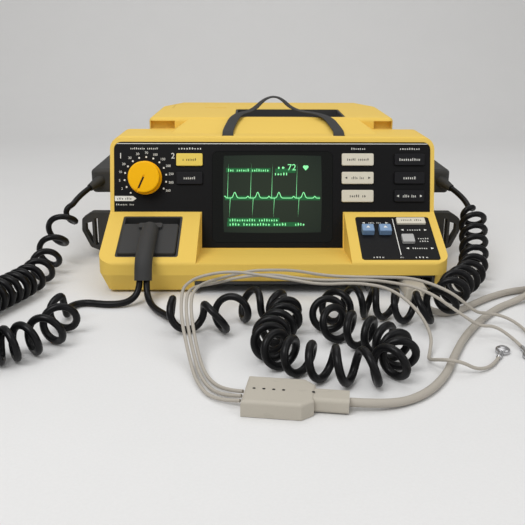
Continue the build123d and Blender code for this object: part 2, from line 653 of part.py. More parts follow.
def make_paddle_plug():
    """The plug block that lies in the socket, with its latch ridge."""
    middle = SOCKET_DOWN - (SOCKET_LENGTH - PLUG_LENGTH) / 2 + 3
    plug = plate(DECK, SOCKET_X, middle, PLUG_WIDTH, PLUG_LENGTH, 2.5, -SOCKET_DEPTH + 2.5, PLUG_TOP)
    top = plug.faces().sort_by(lambda f: (f.center() - DECK.origin).dot(DECK.z_dir))[-1]
    plug = fillet(top.edges(), 1.5)
    ridge = plate(DECK, SOCKET_X, middle + PLUG_LENGTH / 2 - 7, 24, 8, 1.5, PLUG_TOP - 0.5, PLUG_TOP + 3)
    return plug + ridge


def make_plug_boot():
    """The thick strain relief that bends over the front edge and ends in two legs."""
    radii = corner_radii(BOOT_POINTS)
    path = FilletPolyline(*BOOT_POINTS, radius=radii)
    start = Plane(origin=path @ 0, z_dir=path % 0)
    return sweep(start * Circle(BOOT_RADIUS), path=path)


PADDLE_PLUG = make_paddle_plug()
PLUG_BOOT = make_plug_boot() - PADDLE_PLUG
save("paddle_socket", make_paddle_socket())
save("paddle_plug", PADDLE_PLUG)
save("plug_boot", PLUG_BOOT)


# ---------------------------------------------------------------- inside the case
CHASSIS_Z = PARTING_Z - 2.5
CHASSIS_THICKNESS = 1.5
CHASSIS_TOP = CHASSIS_Z + CHASSIS_THICKNESS


def make_chassis():
    """A folded sheet that every inside piece stands on."""
    sheet = block(-150, 150, -125, 165, CHASSIS_Z, CHASSIS_TOP)
    for x, y in FOOT_PLACES:
        sheet = sheet + post(x, y, TRAY_FLOOR_TOP, CHASSIS_Z + 0.5, 5) - post(x, y, 0, TRAY_FLOOR_TOP + 1.2, 3.2)
    upright = block(-66, -64.5, -60, 120, CHASSIS_Z, 104)
    window = block(-70, -60, -20, 60, 40, 88)
    return sheet + upright - window


save("chassis_frame", make_chassis())


def make_circuit_boards():
    """The key boards behind both panels, the main board and the high-voltage board."""
    pacer = plate(DECK, PAD_X, PAD_DOWN, PAD_WIDTH - 8, PAD_LENGTH - 8, 2, -12, -10.4)
    main = block(52, 53.6, -46, 122, CHASSIS_TOP, 128) + block(53.6, 60, -30, 100, 50, 56)
    high_voltage = block(-74, -72.4, -46, 84, CHASSIS_TOP, 96) + block(-78, -74, 20, 60, 30, 60)
    return Compound([*make_button_boards(), pacer, main, high_voltage])


save("circuit_boards", make_circuit_boards())
save("storage_capacitor", Pos(-107, 30, CHASSIS_TOP + 26) * Rot(90, 0, 0) * Cylinder(26, 92))
save("waveform_inductor", Pos(-100, 116, CHASSIS_TOP + 12) * Torus(22, 11.5))


def make_battery():
    """Three cells in one wrapped pack, with a flat contact end."""
    pack = block(64, 128, 20, 140, CHASSIS_TOP, CHASSIS_TOP + 44)
    return fillet(pack.edges().filter_by(Axis.Y), 6)


save("battery_pack", make_battery())

# ---------------------------------------------------------------- recorder under its door
RECORDER_FLOOR_Z = HUMP_TOP_Z - 46.0
ROLL_X = DOOR_LEFT_X + 6 + ROLL_WIDTH / 2
ROLL_Y = DOOR_FRONT_Y + ROLL_RADIUS + 4
ROLL_Z = HUMP_TOP_Z - 25.0
ROLL_CORE_RADIUS = 5.0


def make_recorder_body():
    """The recorder's tray, with a spindle for the roll and bearings for the drive roller."""
    left = DOOR_LEFT_X + 2
    right = DOOR_RIGHT_X - 2
    front = DOOR_FRONT_Y + 1
    back = DOOR_BACK_Y - 1
    tray = block(left, right, front, back, RECORDER_FLOOR_Z, ROLL_Z + 14)
    inside = block(left + 2.5, right - 2.5, front + 2, back - 2, RECORDER_FLOOR_Z + 2.5, ROLL_Z + 30)
    tray = tray - inside
    wall_x = ROLL_X + ROLL_WIDTH / 2 + 1.5
    wall = block(wall_x, wall_x + 2.5, front + 1, back - 1, RECORDER_FLOOR_Z + 1, ROLL_Z + 14)
    middle = Pos((left + wall_x) / 2 + 1, ROLL_Y, ROLL_Z) * Rot(0, 90, 0)
    spindle = middle * Cylinder(ROLL_CORE_RADIUS - 0.08, wall_x - left)
    rim_top = HUMP_TOP_Z - WALL - 0.1
    rim = block(left - 6, right + 6, front - 5, DOOR_BACK_Y - 12, ROLL_Z + 12, rim_top)
    rim = rim - block(left + 2.5, right - 2.5, front + 2, DOOR_BACK_Y, ROLL_Z, rim_top + 1)
    return tray + wall + spindle + rim


def make_paper_roll():
    roll = Pos(ROLL_X, ROLL_Y, ROLL_Z) * Rot(0, 90, 0) * Cylinder(ROLL_RADIUS, ROLL_WIDTH - 2)
    return roll - Pos(ROLL_X, ROLL_Y, ROLL_Z) * Rot(0, 90, 0) * Cylinder(ROLL_CORE_RADIUS, ROLL_WIDTH + 2)


def make_door():
    """The recorder door: a lid flush with the top, on two moulded pins at its back corners."""
    lid = block(
        DOOR_LEFT_X + DOOR_GAP, DOOR_RIGHT_X - DOOR_GAP, DOOR_FRONT_Y + DOOR_GAP, DOOR_BACK_Y - DOOR_BACK_GAP,
        HUMP_TOP_Z - DOOR_THICKNESS, HUMP_TOP_Z,
    )
    lid = fillet(lid.edges().filter_by(Axis.Z).sort_by(Axis.Y)[:2], 3)
    finger = block(-84, -56, DOOR_FRONT_Y - 1, DOOR_FRONT_Y + 5, HUMP_TOP_Z - 1.2, HUMP_TOP_Z + 1)
    lid = lid - finger
    middle = Pos((DOOR_LEFT_X + DOOR_RIGHT_X) / 2, HINGE_Y, HINGE_Z) * Rot(0, 90, 0)
    pins = middle * Cylinder(HINGE_RADIUS, DOOR_RIGHT_X - DOOR_LEFT_X - 2 * DOOR_GAP + 2 * HINGE_PIN_LENGTH)
    return lid + pins


save("recorder_body", make_recorder_body())
save("paper_roll", make_paper_roll())
save("recorder_door", make_door())


# ---------------------------------------------------------------- handle well and strap


def make_handle_well():
    """A dark liner in the hump's top, where a hand goes under the strap."""
    x0 = WELL_CENTRE[0] - WELL_SIZE[0] / 2 + FIT
    x1 = WELL_CENTRE[0] + WELL_SIZE[0] / 2 - FIT
    y0 = WELL_CENTRE[1] - WELL_SIZE[1] / 2 + FIT
    y1 = WELL_CENTRE[1] + WELL_SIZE[1] / 2 - FIT
    liner = block(x0, x1, y0, y1, HUMP_TOP_Z - WELL_DEPTH, HUMP_TOP_Z - 0.5)
    liner = fillet(liner.edges().filter_by(Axis.Z), 4.7)
    cavity = block(x0 + 2, x1 - 2, y0 + 2, y1 - 2, HUMP_TOP_Z - WELL_DEPTH + 2, HUMP_TOP_Z + 5)
    return liner - fillet(cavity.edges().filter_by(Axis.Z), 3)


def make_strap():
    """A webbing band as a chain of flat runs."""
    band = None
    for start, end in zip(STRAP_POINTS, STRAP_POINTS[1:]):
        a = Vector(*start)
        b = Vector(*end)
        run = b - a
        side = Vector(0, 0, 1).cross(run).normalized()
        normal = run.normalized().cross(side)
        piece = Plane(origin=(a + b) * 0.5, x_dir=run, z_dir=normal) * Box(run.length + 3, STRAP_WIDTH, STRAP_THICKNESS)
        band = piece if band is None else band + piece
    return band


save("handle_well", make_handle_well())
save("handle_strap", make_strap())


# ---------------------------------------------------------------- paddles and cord guards
def make_paddle_shell():
    """The right paddle: an upright plate that holds the electrode, and a grip out to the side."""
    outer_x = PLATE_INNER_X + PLATE_THICKNESS
    middle_y = (PLATE_FRONT_Y + PLATE_BACK_Y) / 2
    middle_z = (PLATE_BOTTOM_Z + PLATE_TOP_Z) / 2
    outline = Plane(origin=(PLATE_INNER_X, middle_y, middle_z), x_dir=(0, 1, 0), z_dir=(1, 0, 0))
    length = PLATE_BACK_Y - PLATE_FRONT_Y
    height = PLATE_TOP_Z - PLATE_BOTTOM_Z
    base = extrude(outline * RectangleRounded(length, height, 16), PLATE_THICKNESS)
    base = fillet(base.faces().sort_by(Axis.X)[-1].edges(), 4)
    grip = block(GRIP_INNER_X, GRIP_OUTER_X, GRIP_FRONT_Y, GRIP_BACK_Y, GRIP_BOTTOM_Z, GRIP_TOP_Z)
    grip = fillet(grip.edges(), 5)
    posts = []
    for y in (GRIP_FRONT_Y + 2, GRIP_BACK_Y - 2 - GRIP_POST_LENGTH):
        posts.append(block(outer_x - 1, GRIP_INNER_X + 6, y, y + GRIP_POST_LENGTH, GRIP_BOTTOM_Z + 3, GRIP_TOP_Z - 3))
    front_post = posts[0] & block(100, 300, PLATE_FRONT_Y + 2, 400, 0, 200)
    front_web = block(CASE_HALF_WIDTH + 1, GRIP_INNER_X + 6, GRIP_FRONT_Y + 2, PLATE_FRONT_Y + 3, GRIP_BOTTOM_Z + 3, GRIP_TOP_Z - 3)
    shell = base + grip + front_post + front_web + posts[1]
    recess = Pos(PLATE_INNER_X, middle_y, middle_z) * Rot(0, 90, 0) * Cylinder(ELECTRODE_RADIUS + 0.1, 2.0)
    button_bore = Pos(BUTTON_X, GRIP_BACK_Y, BUTTON_Z) * Rot(90, 0, 0) * Cylinder(THUMB_BUTTON_RADIUS + FIT, 24)
    return shell - recess - button_bore


BUTTON_X = (GRIP_INNER_X + GRIP_OUTER_X) / 2
BUTTON_Z = (GRIP_BOTTOM_Z + GRIP_TOP_Z) / 2
THUMB_BUTTON_DEPTH = 8.0
PADDLE_BOOT_POINTS = [(206.0, 0.0, 80.0), (209.0, -6.0, 79.0), (214.0, -13.0, 75.0)]


def make_electrode():
    middle_y = (PLATE_FRONT_Y + PLATE_BACK_Y) / 2
    middle_z = (PLATE_BOTTOM_Z + PLATE_TOP_Z) / 2
    face = PLATE_INNER_X + 1.0 - ELECTRODE_THICKNESS
    cylinder = Pos(face + ELECTRODE_THICKNESS / 2, middle_y, middle_z) * Rot(0, 90, 0) * Cylinder(ELECTRODE_RADIUS, ELECTRODE_THICKNESS)
    return fillet(cylinder.edges().sort_by(Axis.X)[0], 1.0)


def make_thumb_button():
    cap = Pos(BUTTON_X, GRIP_BACK_Y + (THUMB_BUTTON_PROUD - THUMB_BUTTON_DEPTH) / 2, BUTTON_Z) * Rot(90, 0, 0) * Cylinder(
        THUMB_BUTTON_RADIUS, THUMB_BUTTON_PROUD + THUMB_BUTTON_DEPTH
    )
    return fillet(cap.edges().sort_by(Axis.Y)[-1], 1.5)


def make_paddle_boot():
    """A tapered strain relief from the grip's front end."""
    start = Vector(*PADDLE_BOOT_POINTS[0])
    end = Vector(*PADDLE_BOOT_POINTS[-1])
    run = end - start
    thick = Plane(origin=start, z_dir=run) * Circle(6.5)
    thin = Plane(origin=end, z_dir=run) * Circle(4.2)
    cone = loft([thick, thin])
    root = Plane(origin=start - run.normalized() * 4, z_dir=run) * Circle(6.5)
    whole = cone + extrude(root, 4)
    return whole - block(100, 300, GRIP_FRONT_Y, 50, 0, 200)


def make_cord_guard():
    """A rounded loop on the case's side, in front of the paddle, with a hole and a slit."""
    outline = [
        (CASE_HALF_WIDTH + FIT, 53.0), (207.0, 53.0), (218.0, 46.0), (219.0, 32.0),
        (210.0, 12.0), (198.0, 7.0), (CASE_HALF_WIDTH + FIT, 7.0),
    ]
    front = GUARD_Y - GUARD_THICKNESS / 2
    guard = front_prism(outline, front, front + GUARD_THICKNESS)
    guard = fillet(guard.edges().filter_by(Axis.Y).filter_by_position(Axis.X, 190, 230), 4.0)
    hole = front_prism([(207.0, 42.0), (214.5, 40.0), (214.5, 31.0), (207.0, 16.0)], front - 5, front + 30)
    slit = front_prism([(200.5, 46.0), (204.0, 46.0), (204.0, 14.0), (200.5, 14.0)], front - 5, front + 30)
    return guard - hole - slit


right_pieces = {
    "paddle_shell": make_paddle_shell(),
    "paddle_electrode": make_electrode(),
    "discharge_button": make_thumb_button(),
    "paddle_boot": make_paddle_boot(),
}
for piece_name, piece in right_pieces.items():
    save(piece_name + "_right", piece)
    save(piece_name + "_left", mirrored(piece))
CORD_GUARD = make_cord_guard()
save("cord_guards", Compound([CORD_GUARD, mirrored(CORD_GUARD)]))


# ---------------------------------------------------------------- paddle cords
# Both cords leave the plug's boot side by side, lie on the bench, run as loose coils and rise to a paddle.
LEFT_TAIL = [
    (-130.4, -196.5, 22.0), (-130.4, -201.0, 12.4), (-138.0, -208.5, 5.0), (-150.0, -212.5, 3.5),
    (-165.5, -211.5, 3.5), (-181.0, -206.5, 3.5), (-193.0, -214.0, 3.8), (-192.7, -232.0, 5.0), (-189.0, -250.0, 5.0),
]
LEFT_COIL = [
    (-189.0, -250.0, 16.3), (-182.0, -284.0, 16.3), (-194.0, -318.0, 16.3), (-222.0, -342.0, 16.3),
    (-256.0, -338.0, 16.3), (-276.0, -306.0, 16.3), (-277.0, -266.0, 16.3), (-263.0, -228.0, 16.3),
    (-247.0, -190.0, 16.3), (-239.0, -150.0, 16.3), (-241.0, -112.0, 20.0), (-238.0, -82.0, 38.0),
    (-230.0, -56.0, 58.0), (-223.6, -28.6, 69.0), (-214.0, -13.0, 75.0),
]
RIGHT_TAIL = [
    (-123.6, -196.5, 22.0), (-123.6, -201.0, 12.4), (-119.5, -211.0, 5.2), (-112.0, -226.0, 3.6),
    (-101.6, -241.6, 5.0), (-92.0, -256.0, 5.0),
]
RIGHT_COIL = [
    (-92.0, -256.0, 16.3), (-76.0, -280.0, 16.3), (-50.0, -282.0, 16.3), (-36.0, -252.0, 16.3),
    (-14.0, -240.0, 16.3), (8.0, -254.0, 16.3), (8.0, -284.0, 16.3), (-6.0, -310.0, 16.3),
    (-8.0, -338.0, 16.3), (12.0, -359.0, 16.3), (40.0, -373.0, 16.3), (70.0, -378.0, 16.3), (94.0, -362.0, 16.3),
    (92.0, -332.0, 16.3), (70.0, -309.0, 16.3), (46.0, -292.0, 16.3), (43.0, -262.0, 16.3),
    (62.0, -240.0, 16.3), (90.0, -237.0, 16.3), (114.0, -254.0, 16.3), (138.0, -263.0, 19.0),
    (160.0, -244.0, 24.5), (172.0, -213.0, 24.5), (188.0, -185.0, 19.0), (204.0, -154.0, 16.3),
    (215.0, -123.0, 20.0), (222.0, -92.0, 36.0), (228.0, -60.0, 56.0), (223.6, -28.6, 69.0), (214.0, -13.0, 75.0),
]

save("left_cord_tail", tube("left_cord_tail", LEFT_TAIL, CORD_DIAMETER))
save("left_cord_coil", tube("left_cord_coil", LEFT_COIL, COIL_DIAMETER))
save("right_cord_tail", tube("right_cord_tail", RIGHT_TAIL, CORD_DIAMETER))
save("right_cord_coil", tube("right_cord_coil", RIGHT_COIL, COIL_DIAMETER))


# ---------------------------------------------------------------- patient cable
YOKE_CENTRE = (-1.0, -404.0)
YOKE_TURN = -8.0
YOKE_LENGTH = 50.0
YOKE_WIDTH = 40.0
YOKE_HEIGHT = 12.0
YOKE_NECK = 24.0
TRUNK_RING = (300.0, -192.0)
TRUNK_RING_OUTER = 50.0
TRUNK_RING_INNER = 26.0
TRUNK_RING_HEIGHT = 20.0
TRUNK_FROM_YOKE = [
    (47.6, -410.83, 6.0), (65.34, -413.32, 6.0), (88.0, -406.0, 3.4), (109.0, -390.0, 3.4), (128.0, -362.0, 3.4),
    (143.0, -327.0, 3.4), (161.0, -290.0, 3.4), (185.0, -253.0, 3.4), (212.0, -220.0, 3.4), (238.0, -200.0, 3.4),
    (256.0, -206.0, 3.6),
]
TRUNK_FROM_PLUG = [
    (139.0, -213.0, 8.5), (139.0, -223.0, 8.5), (145.0, -233.0, 5.0), (159.0, -236.0, 3.4), (176.0, -226.0, 3.4),
    (194.0, -208.0, 3.4), (216.0, -189.0, 3.4), (240.0, -174.0, 3.4), (262.0, -166.0, 3.6),
]
LEAD_ONE = [
    (-27.0, -394.5, 6.0), (-40.0, -388.0, 3.4), (-54.0, -368.0, 2.0), (-63.0, -338.0, 6.0), (-71.0, -309.0, 30.0),
    (-73.0, -279.0, 39.0), (-66.0, -247.0, 37.0), (-47.0, -206.0, 29.0), (-24.0, -184.0, 28.0), (-4.0, -184.5, 29.0),
    (20.0, -204.0, 35.0), (44.0, -228.0, 38.0), (70.0, -233.0, 38.0), (98.0, -236.0, 39.0), (124.0, -252.0, 43.5),
    (152.0, -272.0, 38.0), (176.0, -266.0, 16.0), (190.0, -256.0, 12.0), (208.0, -256.0, 8.0), (220.0, -270.0, 2.2),
    (219.0, -288.0, 2.2),
]
LEAD_TWO = [
    (-28.0, -400.5, 5.5), (-44.0, -394.0, 2.2), (-58.0, -371.0, 2.0), (-66.5, -339.0, 6.0), (-75.0, -310.5, 30.0),
    (-77.0, -280.0, 39.0), (-73.5, -248.0, 34.0), (-58.0, -217.0, 26.0), (-30.0, -201.0, 28.0), (0.0, -213.0, 34.0),
    (22.0, -236.0, 37.5), (48.0, -243.0, 38.0), (76.0, -240.0, 38.0), (102.0, -247.0, 38.5), (130.0, -274.0, 40.0),
    (156.0, -288.0, 24.0), (174.0, -288.0, 12.0), (188.0, -286.0, 12.0), (203.0, -298.0, 3.0), (204.0, -314.0, 2.2),
]
LEAD_THREE = [
    (-29.0, -406.5, 5.0), (-48.0, -401.0, 2.0), (-62.0, -374.0, 2.0), (-70.0, -341.0, 6.0), (-79.0, -312.0, 30.0),
    (-81.0, -282.0, 39.0), (-81.0, -256.0, 38.0), (-71.0, -230.0, 37.5), (-42.0, -222.0, 40.5), (-10.0, -238.0, 41.0),
    (12.0, -248.0, 41.0), (40.0, -256.0, 38.5), (72.0, -250.0, 38.5), (100.0, -262.0, 38.0), (118.0, -290.0, 30.0),
    (129.0, -306.0, 12.0), (124.0, -322.0, 2.4), (119.0, -338.0, 4.0), (127.0, -353.0, 11.5), (140.0, -357.0, 11.5),
    (154.0, -355.0, 3.4), (170.0, -344.0, 2.0), (180.0, -326.0, 2.2),
]
SNAP_LENGTH = 16.0


def make_lead_plug():
    """The patient cable's plug in the bay: a body, a nose in the back wall and a tapered neck."""
    body = block(LEAD_PLUG_X - 10.5, LEAD_PLUG_X + 10.5, -198, -152, 1.2, 15.8)
    body = fillet(body.edges().filter_by(Axis.Y), 4)
    body = fillet(body.faces().sort_by(Axis.Y)[0].edges(), 2)
    nose = Pos(LEAD_PLUG_X, -146.7, LEAD_PLUG_Z) * Rot(90, 0, 0) * Cylinder(LEAD_SOCKET_RADIUS - 0.1, 12.6)
    wide = Plane(origin=(LEAD_PLUG_X, -196, LEAD_PLUG_Z), z_dir=(0, -1, 0)) * Circle(6)
    thin = Plane(origin=(LEAD_PLUG_X, -213, LEAD_PLUG_Z), z_dir=(0, -1, 0)) * Circle(4)
    return body + nose + loft([wide, thin])


def make_yoke():
    """The block where the cable splits into three leads, with a neck towards the cable."""
    place = Pos(YOKE_CENTRE[0], YOKE_CENTRE[1], 0) * Rot(0, 0, YOKE_TURN)
    body = Pos(0, 0, YOKE_HEIGHT / 2 + 0.2) * Box(YOKE_LENGTH, YOKE_WIDTH, YOKE_HEIGHT)
    body = chamfer(body.edges().filter_by(Axis.Z).sort_by(Axis.X)[-2:], 8)
    body = fillet(body.faces().sort_by(Axis.Z)[-1].edges(), 2.5)
    neck = Pos(YOKE_LENGTH / 2 + YOKE_NECK / 2 - 1, 0, 6) * Box(YOKE_NECK + 2, 18, 11)
    neck = fillet(neck.edges().filter_by(Axis.X), 3)
    return place * (body + neck)


def make_snaps():
    """A small clip on the end of each lead."""
    clips = []
    for route in (LEAD_ONE, LEAD_TWO, LEAD_THREE):
        end = Vector(*route[-1])
        run = (end - Vector(*route[-2])).normalized()
        level = Vector(run.X, run.Y, 0).normalized()
        stem = extrude(Plane(origin=end, z_dir=run) * Circle(2.1), 7)
        middle = end + level * (SNAP_LENGTH - 4)
        head = Pos(middle.X, middle.Y, 2.6) * Cylinder(6, 4.8)
        clips.append(stem + fillet(head.edges(), 0.8))
    return Compound(clips)


def make_trunk_ring():
    """The cable's spare length as one coil."""
    x, y = TRUNK_RING
    ring = post(x, y, 0.3, 0.3 + TRUNK_RING_HEIGHT, TRUNK_RING_OUTER)
    return ring - post(x, y, 0, 40, TRUNK_RING_INNER)


save("lead_plug", make_lead_plug())
save("lead_yoke", make_yoke())
save("trunk_from_yoke", tube("trunk_from_yoke", TRUNK_FROM_YOKE, TRUNK_DIAMETER))
save("trunk_coil", make_trunk_ring())
save("trunk_from_plug", tube("trunk_from_plug", TRUNK_FROM_PLUG, TRUNK_DIAMETER))
save("lead_one", tube("lead_one", LEAD_ONE, LEAD_DIAMETER))
save("lead_two", tube("lead_two", LEAD_TWO, LEAD_DIAMETER))
save("lead_three", tube("lead_three", LEAD_THREE, LEAD_DIAMETER))
save("lead_snaps", make_snaps())
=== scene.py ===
"""Looks for a portable heart monitor with a defibrillator and pacer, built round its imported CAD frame."""

import logging
import math
from dataclasses import dataclass
from enum import Enum
from typing import Sequence

import bpy
import numpy as np
from mathutils import Matrix, Vector

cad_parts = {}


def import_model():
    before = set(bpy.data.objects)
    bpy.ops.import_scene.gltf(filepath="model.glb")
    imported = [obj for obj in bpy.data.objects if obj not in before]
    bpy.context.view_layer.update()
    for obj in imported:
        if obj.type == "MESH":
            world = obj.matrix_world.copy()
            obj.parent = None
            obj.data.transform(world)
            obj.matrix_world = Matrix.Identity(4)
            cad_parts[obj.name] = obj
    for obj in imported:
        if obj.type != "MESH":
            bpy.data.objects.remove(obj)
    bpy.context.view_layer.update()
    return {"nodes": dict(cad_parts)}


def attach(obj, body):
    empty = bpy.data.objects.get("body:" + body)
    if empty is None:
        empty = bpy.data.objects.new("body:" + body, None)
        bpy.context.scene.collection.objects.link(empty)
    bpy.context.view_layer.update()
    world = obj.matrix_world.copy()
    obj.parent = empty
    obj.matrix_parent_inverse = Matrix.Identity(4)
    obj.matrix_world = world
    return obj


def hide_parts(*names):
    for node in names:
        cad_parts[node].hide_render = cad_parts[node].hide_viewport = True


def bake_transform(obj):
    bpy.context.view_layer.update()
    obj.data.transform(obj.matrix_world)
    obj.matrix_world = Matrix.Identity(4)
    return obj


log = logging.getLogger("monitor")

Colour = tuple[float, float, float]
Points = list[tuple[float, float, float]]

MM = 0.001
PANEL_TILT = math.radians(15.9)
EDGE_Y = -96.0
EDGE_Z = 66.0
DECK_FRONT_Y = -177.5
DECK_FRONT_Z = 34.0
DECK_SLOPE = math.atan2(EDGE_Z - DECK_FRONT_Z, EDGE_Y - DECK_FRONT_Y)
METAL_SPECULAR = 0.5
PLAIN_SPECULAR = 0.16


def srgb(red: int, green: int, blue: int) -> Colour:
    """A linear colour from its 0 to 255 screen values.

    Args:
        red, green, blue: the screen values.
    Returns:
        The linear colour.
    """
    values = np.array([red, green, blue], float) / 255.0
    linear = np.where(values <= 0.04045, values / 12.92, ((values + 0.055) / 1.055) ** 2.4)
    return tuple(float(v) for v in linear)


# ---------------------------------------------------------------- shader groups


def new_group(name: str, inputs: dict[str, object], outputs: dict[str, str]) -> tuple:
    """An empty shader group with its sockets.

    Args:
        name: the group's name.
        inputs: each input's default; a number makes a float socket and a 4-tuple a colour.
        outputs: each output's socket type.
    Returns:
        The group, its input node and its output node.
    """
    group = bpy.data.node_groups.new(name, "ShaderNodeTree")
    for key, value in inputs.items():
        kind = "NodeSocketColor" if isinstance(value, tuple) else "NodeSocketFloat"
        group.interface.new_socket(name=key, in_out="INPUT", socket_type=kind).default_value = value
    for key, kind in outputs.items():
        group.interface.new_socket(name=key, in_out="OUTPUT", socket_type=kind)
    return group, group.nodes.new("NodeGroupInput"), group.nodes.new("NodeGroupOutput")


def math_node(tree: bpy.types.NodeTree, operation: str, first: object,
              second: object) -> bpy.types.NodeSocket:
    """A math node whose inputs are sockets or numbers; gives its output socket."""
    node = tree.nodes.new("ShaderNodeMath")
    node.operation = operation
    for socket, value in zip(node.inputs, (first, second)):
        if isinstance(value, bpy.types.NodeSocket):
            tree.links.new(value, socket)
        else:
            socket.default_value = value
    return node.outputs[0]


def noise_node(tree: bpy.types.NodeTree, where: object, scale: object, detail: float) -> bpy.types.NodeSocket:
    """A noise texture over a coordinate socket; gives its value socket."""
    node = tree.nodes.new("ShaderNodeTexNoise")
    node.inputs["Detail"].default_value = detail
    tree.links.new(where, node.inputs["Vector"])
    if isinstance(scale, bpy.types.NodeSocket):
        tree.links.new(scale, node.inputs["Scale"])
    else:
        node.inputs["Scale"].default_value = scale
    return node.outputs["Fac"]


def moulded_group() -> bpy.types.NodeTree:
    """Colour, roughness and height of a moulded or painted skin.

    Height is fine grain. Colour is the base, darkened by broad mottling and by thin scuffs, which are
    where a stretched noise passes a high level. Roughness rises and falls with both.
    """
    name = "moulded_skin"
    if name in bpy.data.node_groups:
        return bpy.data.node_groups[name]
    inputs = {"Base": (0.5, 0.5, 0.5, 1.0), "Roughness": 0.5, "Grain": 900.0, "Mottle": 0.1, "Scuff": 0.1}
    outputs = {"Colour": "NodeSocketColor", "Roughness": "NodeSocketFloat", "Height": "NodeSocketFloat"}
    group, given, made = new_group(name, inputs, outputs)
    where = group.nodes.new("ShaderNodeTexCoord").outputs["Object"]
    grain = noise_node(group, where, given.outputs["Grain"], 3.0)
    broad = noise_node(group, where, 14.0, 4.0)
    stretch = group.nodes.new("ShaderNodeMapping")
    stretch.inputs["Scale"].default_value = (40.0, 140.0, 60.0)
    group.links.new(where, stretch.inputs["Vector"])
    thin = noise_node(group, stretch.outputs[0], 1.0, 5.0)
    scuff = math_node(group, "MULTIPLY", math_node(group, "GREATER_THAN", thin, 0.66), given.outputs["Scuff"])
    mottle = math_node(group, "MULTIPLY", math_node(group, "SUBTRACT", broad, 0.5), given.outputs["Mottle"])
    fine = math_node(group, "MULTIPLY", math_node(group, "SUBTRACT", grain, 0.5), 0.06)
    level = math_node(group, "ADD", math_node(group, "ADD", 1.0, mottle), fine)
    level = math_node(group, "SUBTRACT", level, scuff)
    tint = group.nodes.new("ShaderNodeMix")
    tint.data_type = "RGBA"
    tint.blend_type = "MULTIPLY"
    tint.inputs["Factor"].default_value = 1.0
    group.links.new(given.outputs["Base"], tint.inputs["A"])
    group.links.new(level, tint.inputs["B"])
    rough = math_node(group, "ADD", given.outputs["Roughness"], math_node(group, "MULTIPLY", mottle, 1.2))
    rough = math_node(group, "ADD", rough, scuff)
    group.links.new(tint.outputs["Result"], made.inputs["Colour"])
    group.links.new(rough, made.inputs["Roughness"])
    group.links.new(grain, made.inputs["Height"])
    return group


def woven_group() -> bpy.types.NodeTree:
    """Colour level and height of a narrow webbing, from the piece's UV map in metres.

    Height is the larger of two crossed sine ridges, as warp and weft threads stand over each other.
    """
    name = "woven_band"
    if name in bpy.data.node_groups:
        return bpy.data.node_groups[name]
    inputs = {"Base": (0.02, 0.02, 0.02, 1.0), "Threads": 900.0}
    group, given, made = new_group(name, inputs, {"Colour": "NodeSocketColor", "Height": "NodeSocketFloat"})
    uv = group.nodes.new("ShaderNodeUVMap").outputs["UV"]
    split = group.nodes.new("ShaderNodeSeparateXYZ")
    group.links.new(uv, split.inputs[0])
    along = math_node(group, "MULTIPLY", split.outputs[0], given.outputs["Threads"])
    across = math_node(group, "MULTIPLY", split.outputs[1], given.outputs["Threads"])
    weft = math_node(group, "SINE", math_node(group, "MULTIPLY", along, 4.2), 0.0)
    shifted = math_node(group, "ADD", math_node(group, "MULTIPLY", across, 6.3), weft)
    warp = math_node(group, "SINE", shifted, 0.0)
    upper = math_node(group, "MAXIMUM", weft, warp)
    height = math_node(group, "MULTIPLY", math_node(group, "ADD", upper, 1.0), 0.5)
    tint = group.nodes.new("ShaderNodeMix")
    tint.data_type = "RGBA"
    tint.blend_type = "MULTIPLY"
    tint.inputs["Factor"].default_value = 0.7
    group.links.new(given.outputs["Base"], tint.inputs["A"])
    group.links.new(height, tint.inputs["B"])
    group.links.new(tint.outputs["Result"], made.inputs["Colour"])
    group.links.new(height, made.inputs["Height"])
    return group


def scan_group() -> bpy.types.NodeTree:
    """Glow of a picture tube's raster: brighter in the middle, with fine lines across it, from the UV map."""
    name = "raster_glow"
    if name in bpy.data.node_groups:
        return bpy.data.node_groups[name]
    inputs = {"Glow": (0.0, 0.1, 0.05, 1.0), "Lines": 240.0}
    group, given, made = new_group(name, inputs, {"Colour": "NodeSocketColor"})
    uv = group.nodes.new("ShaderNodeUVMap").outputs["UV"]
    split = group.nodes.new("ShaderNodeSeparateXYZ")
    group.links.new(uv, split.inputs[0])
    line = math_node(group, "SINE", math_node(group, "MULTIPLY", split.outputs[1], math_node(
        group, "MULTIPLY", given.outputs["Lines"], 2 * math.pi)), 0.0)
    line = math_node(group, "ADD", math_node(group, "MULTIPLY", line, 0.12), 0.88)
    side = math_node(group, "SUBTRACT", split.outputs[0], 0.5)
    rise = math_node(group, "SUBTRACT", split.outputs[1], 0.5)
    side = math_node(group, "MULTIPLY", side, side)
    reach = math_node(group, "ADD", side, math_node(group, "MULTIPLY", rise, rise))
    dimming = math_node(group, "SUBTRACT", 1.0, math_node(group, "MULTIPLY", reach, 1.3))
    level = math_node(group, "MULTIPLY", line, dimming)
    tint = group.nodes.new("ShaderNodeMix")
    tint.data_type = "RGBA"
    tint.blend_type = "MULTIPLY"
    tint.inputs["Factor"].default_value = 1.0
    group.links.new(given.outputs["Glow"], tint.inputs["A"])
    group.links.new(level, tint.inputs["B"])
    group.links.new(tint.outputs["Result"], made.inputs["Colour"])
    return group


# ---------------------------------------------------------------- finishes


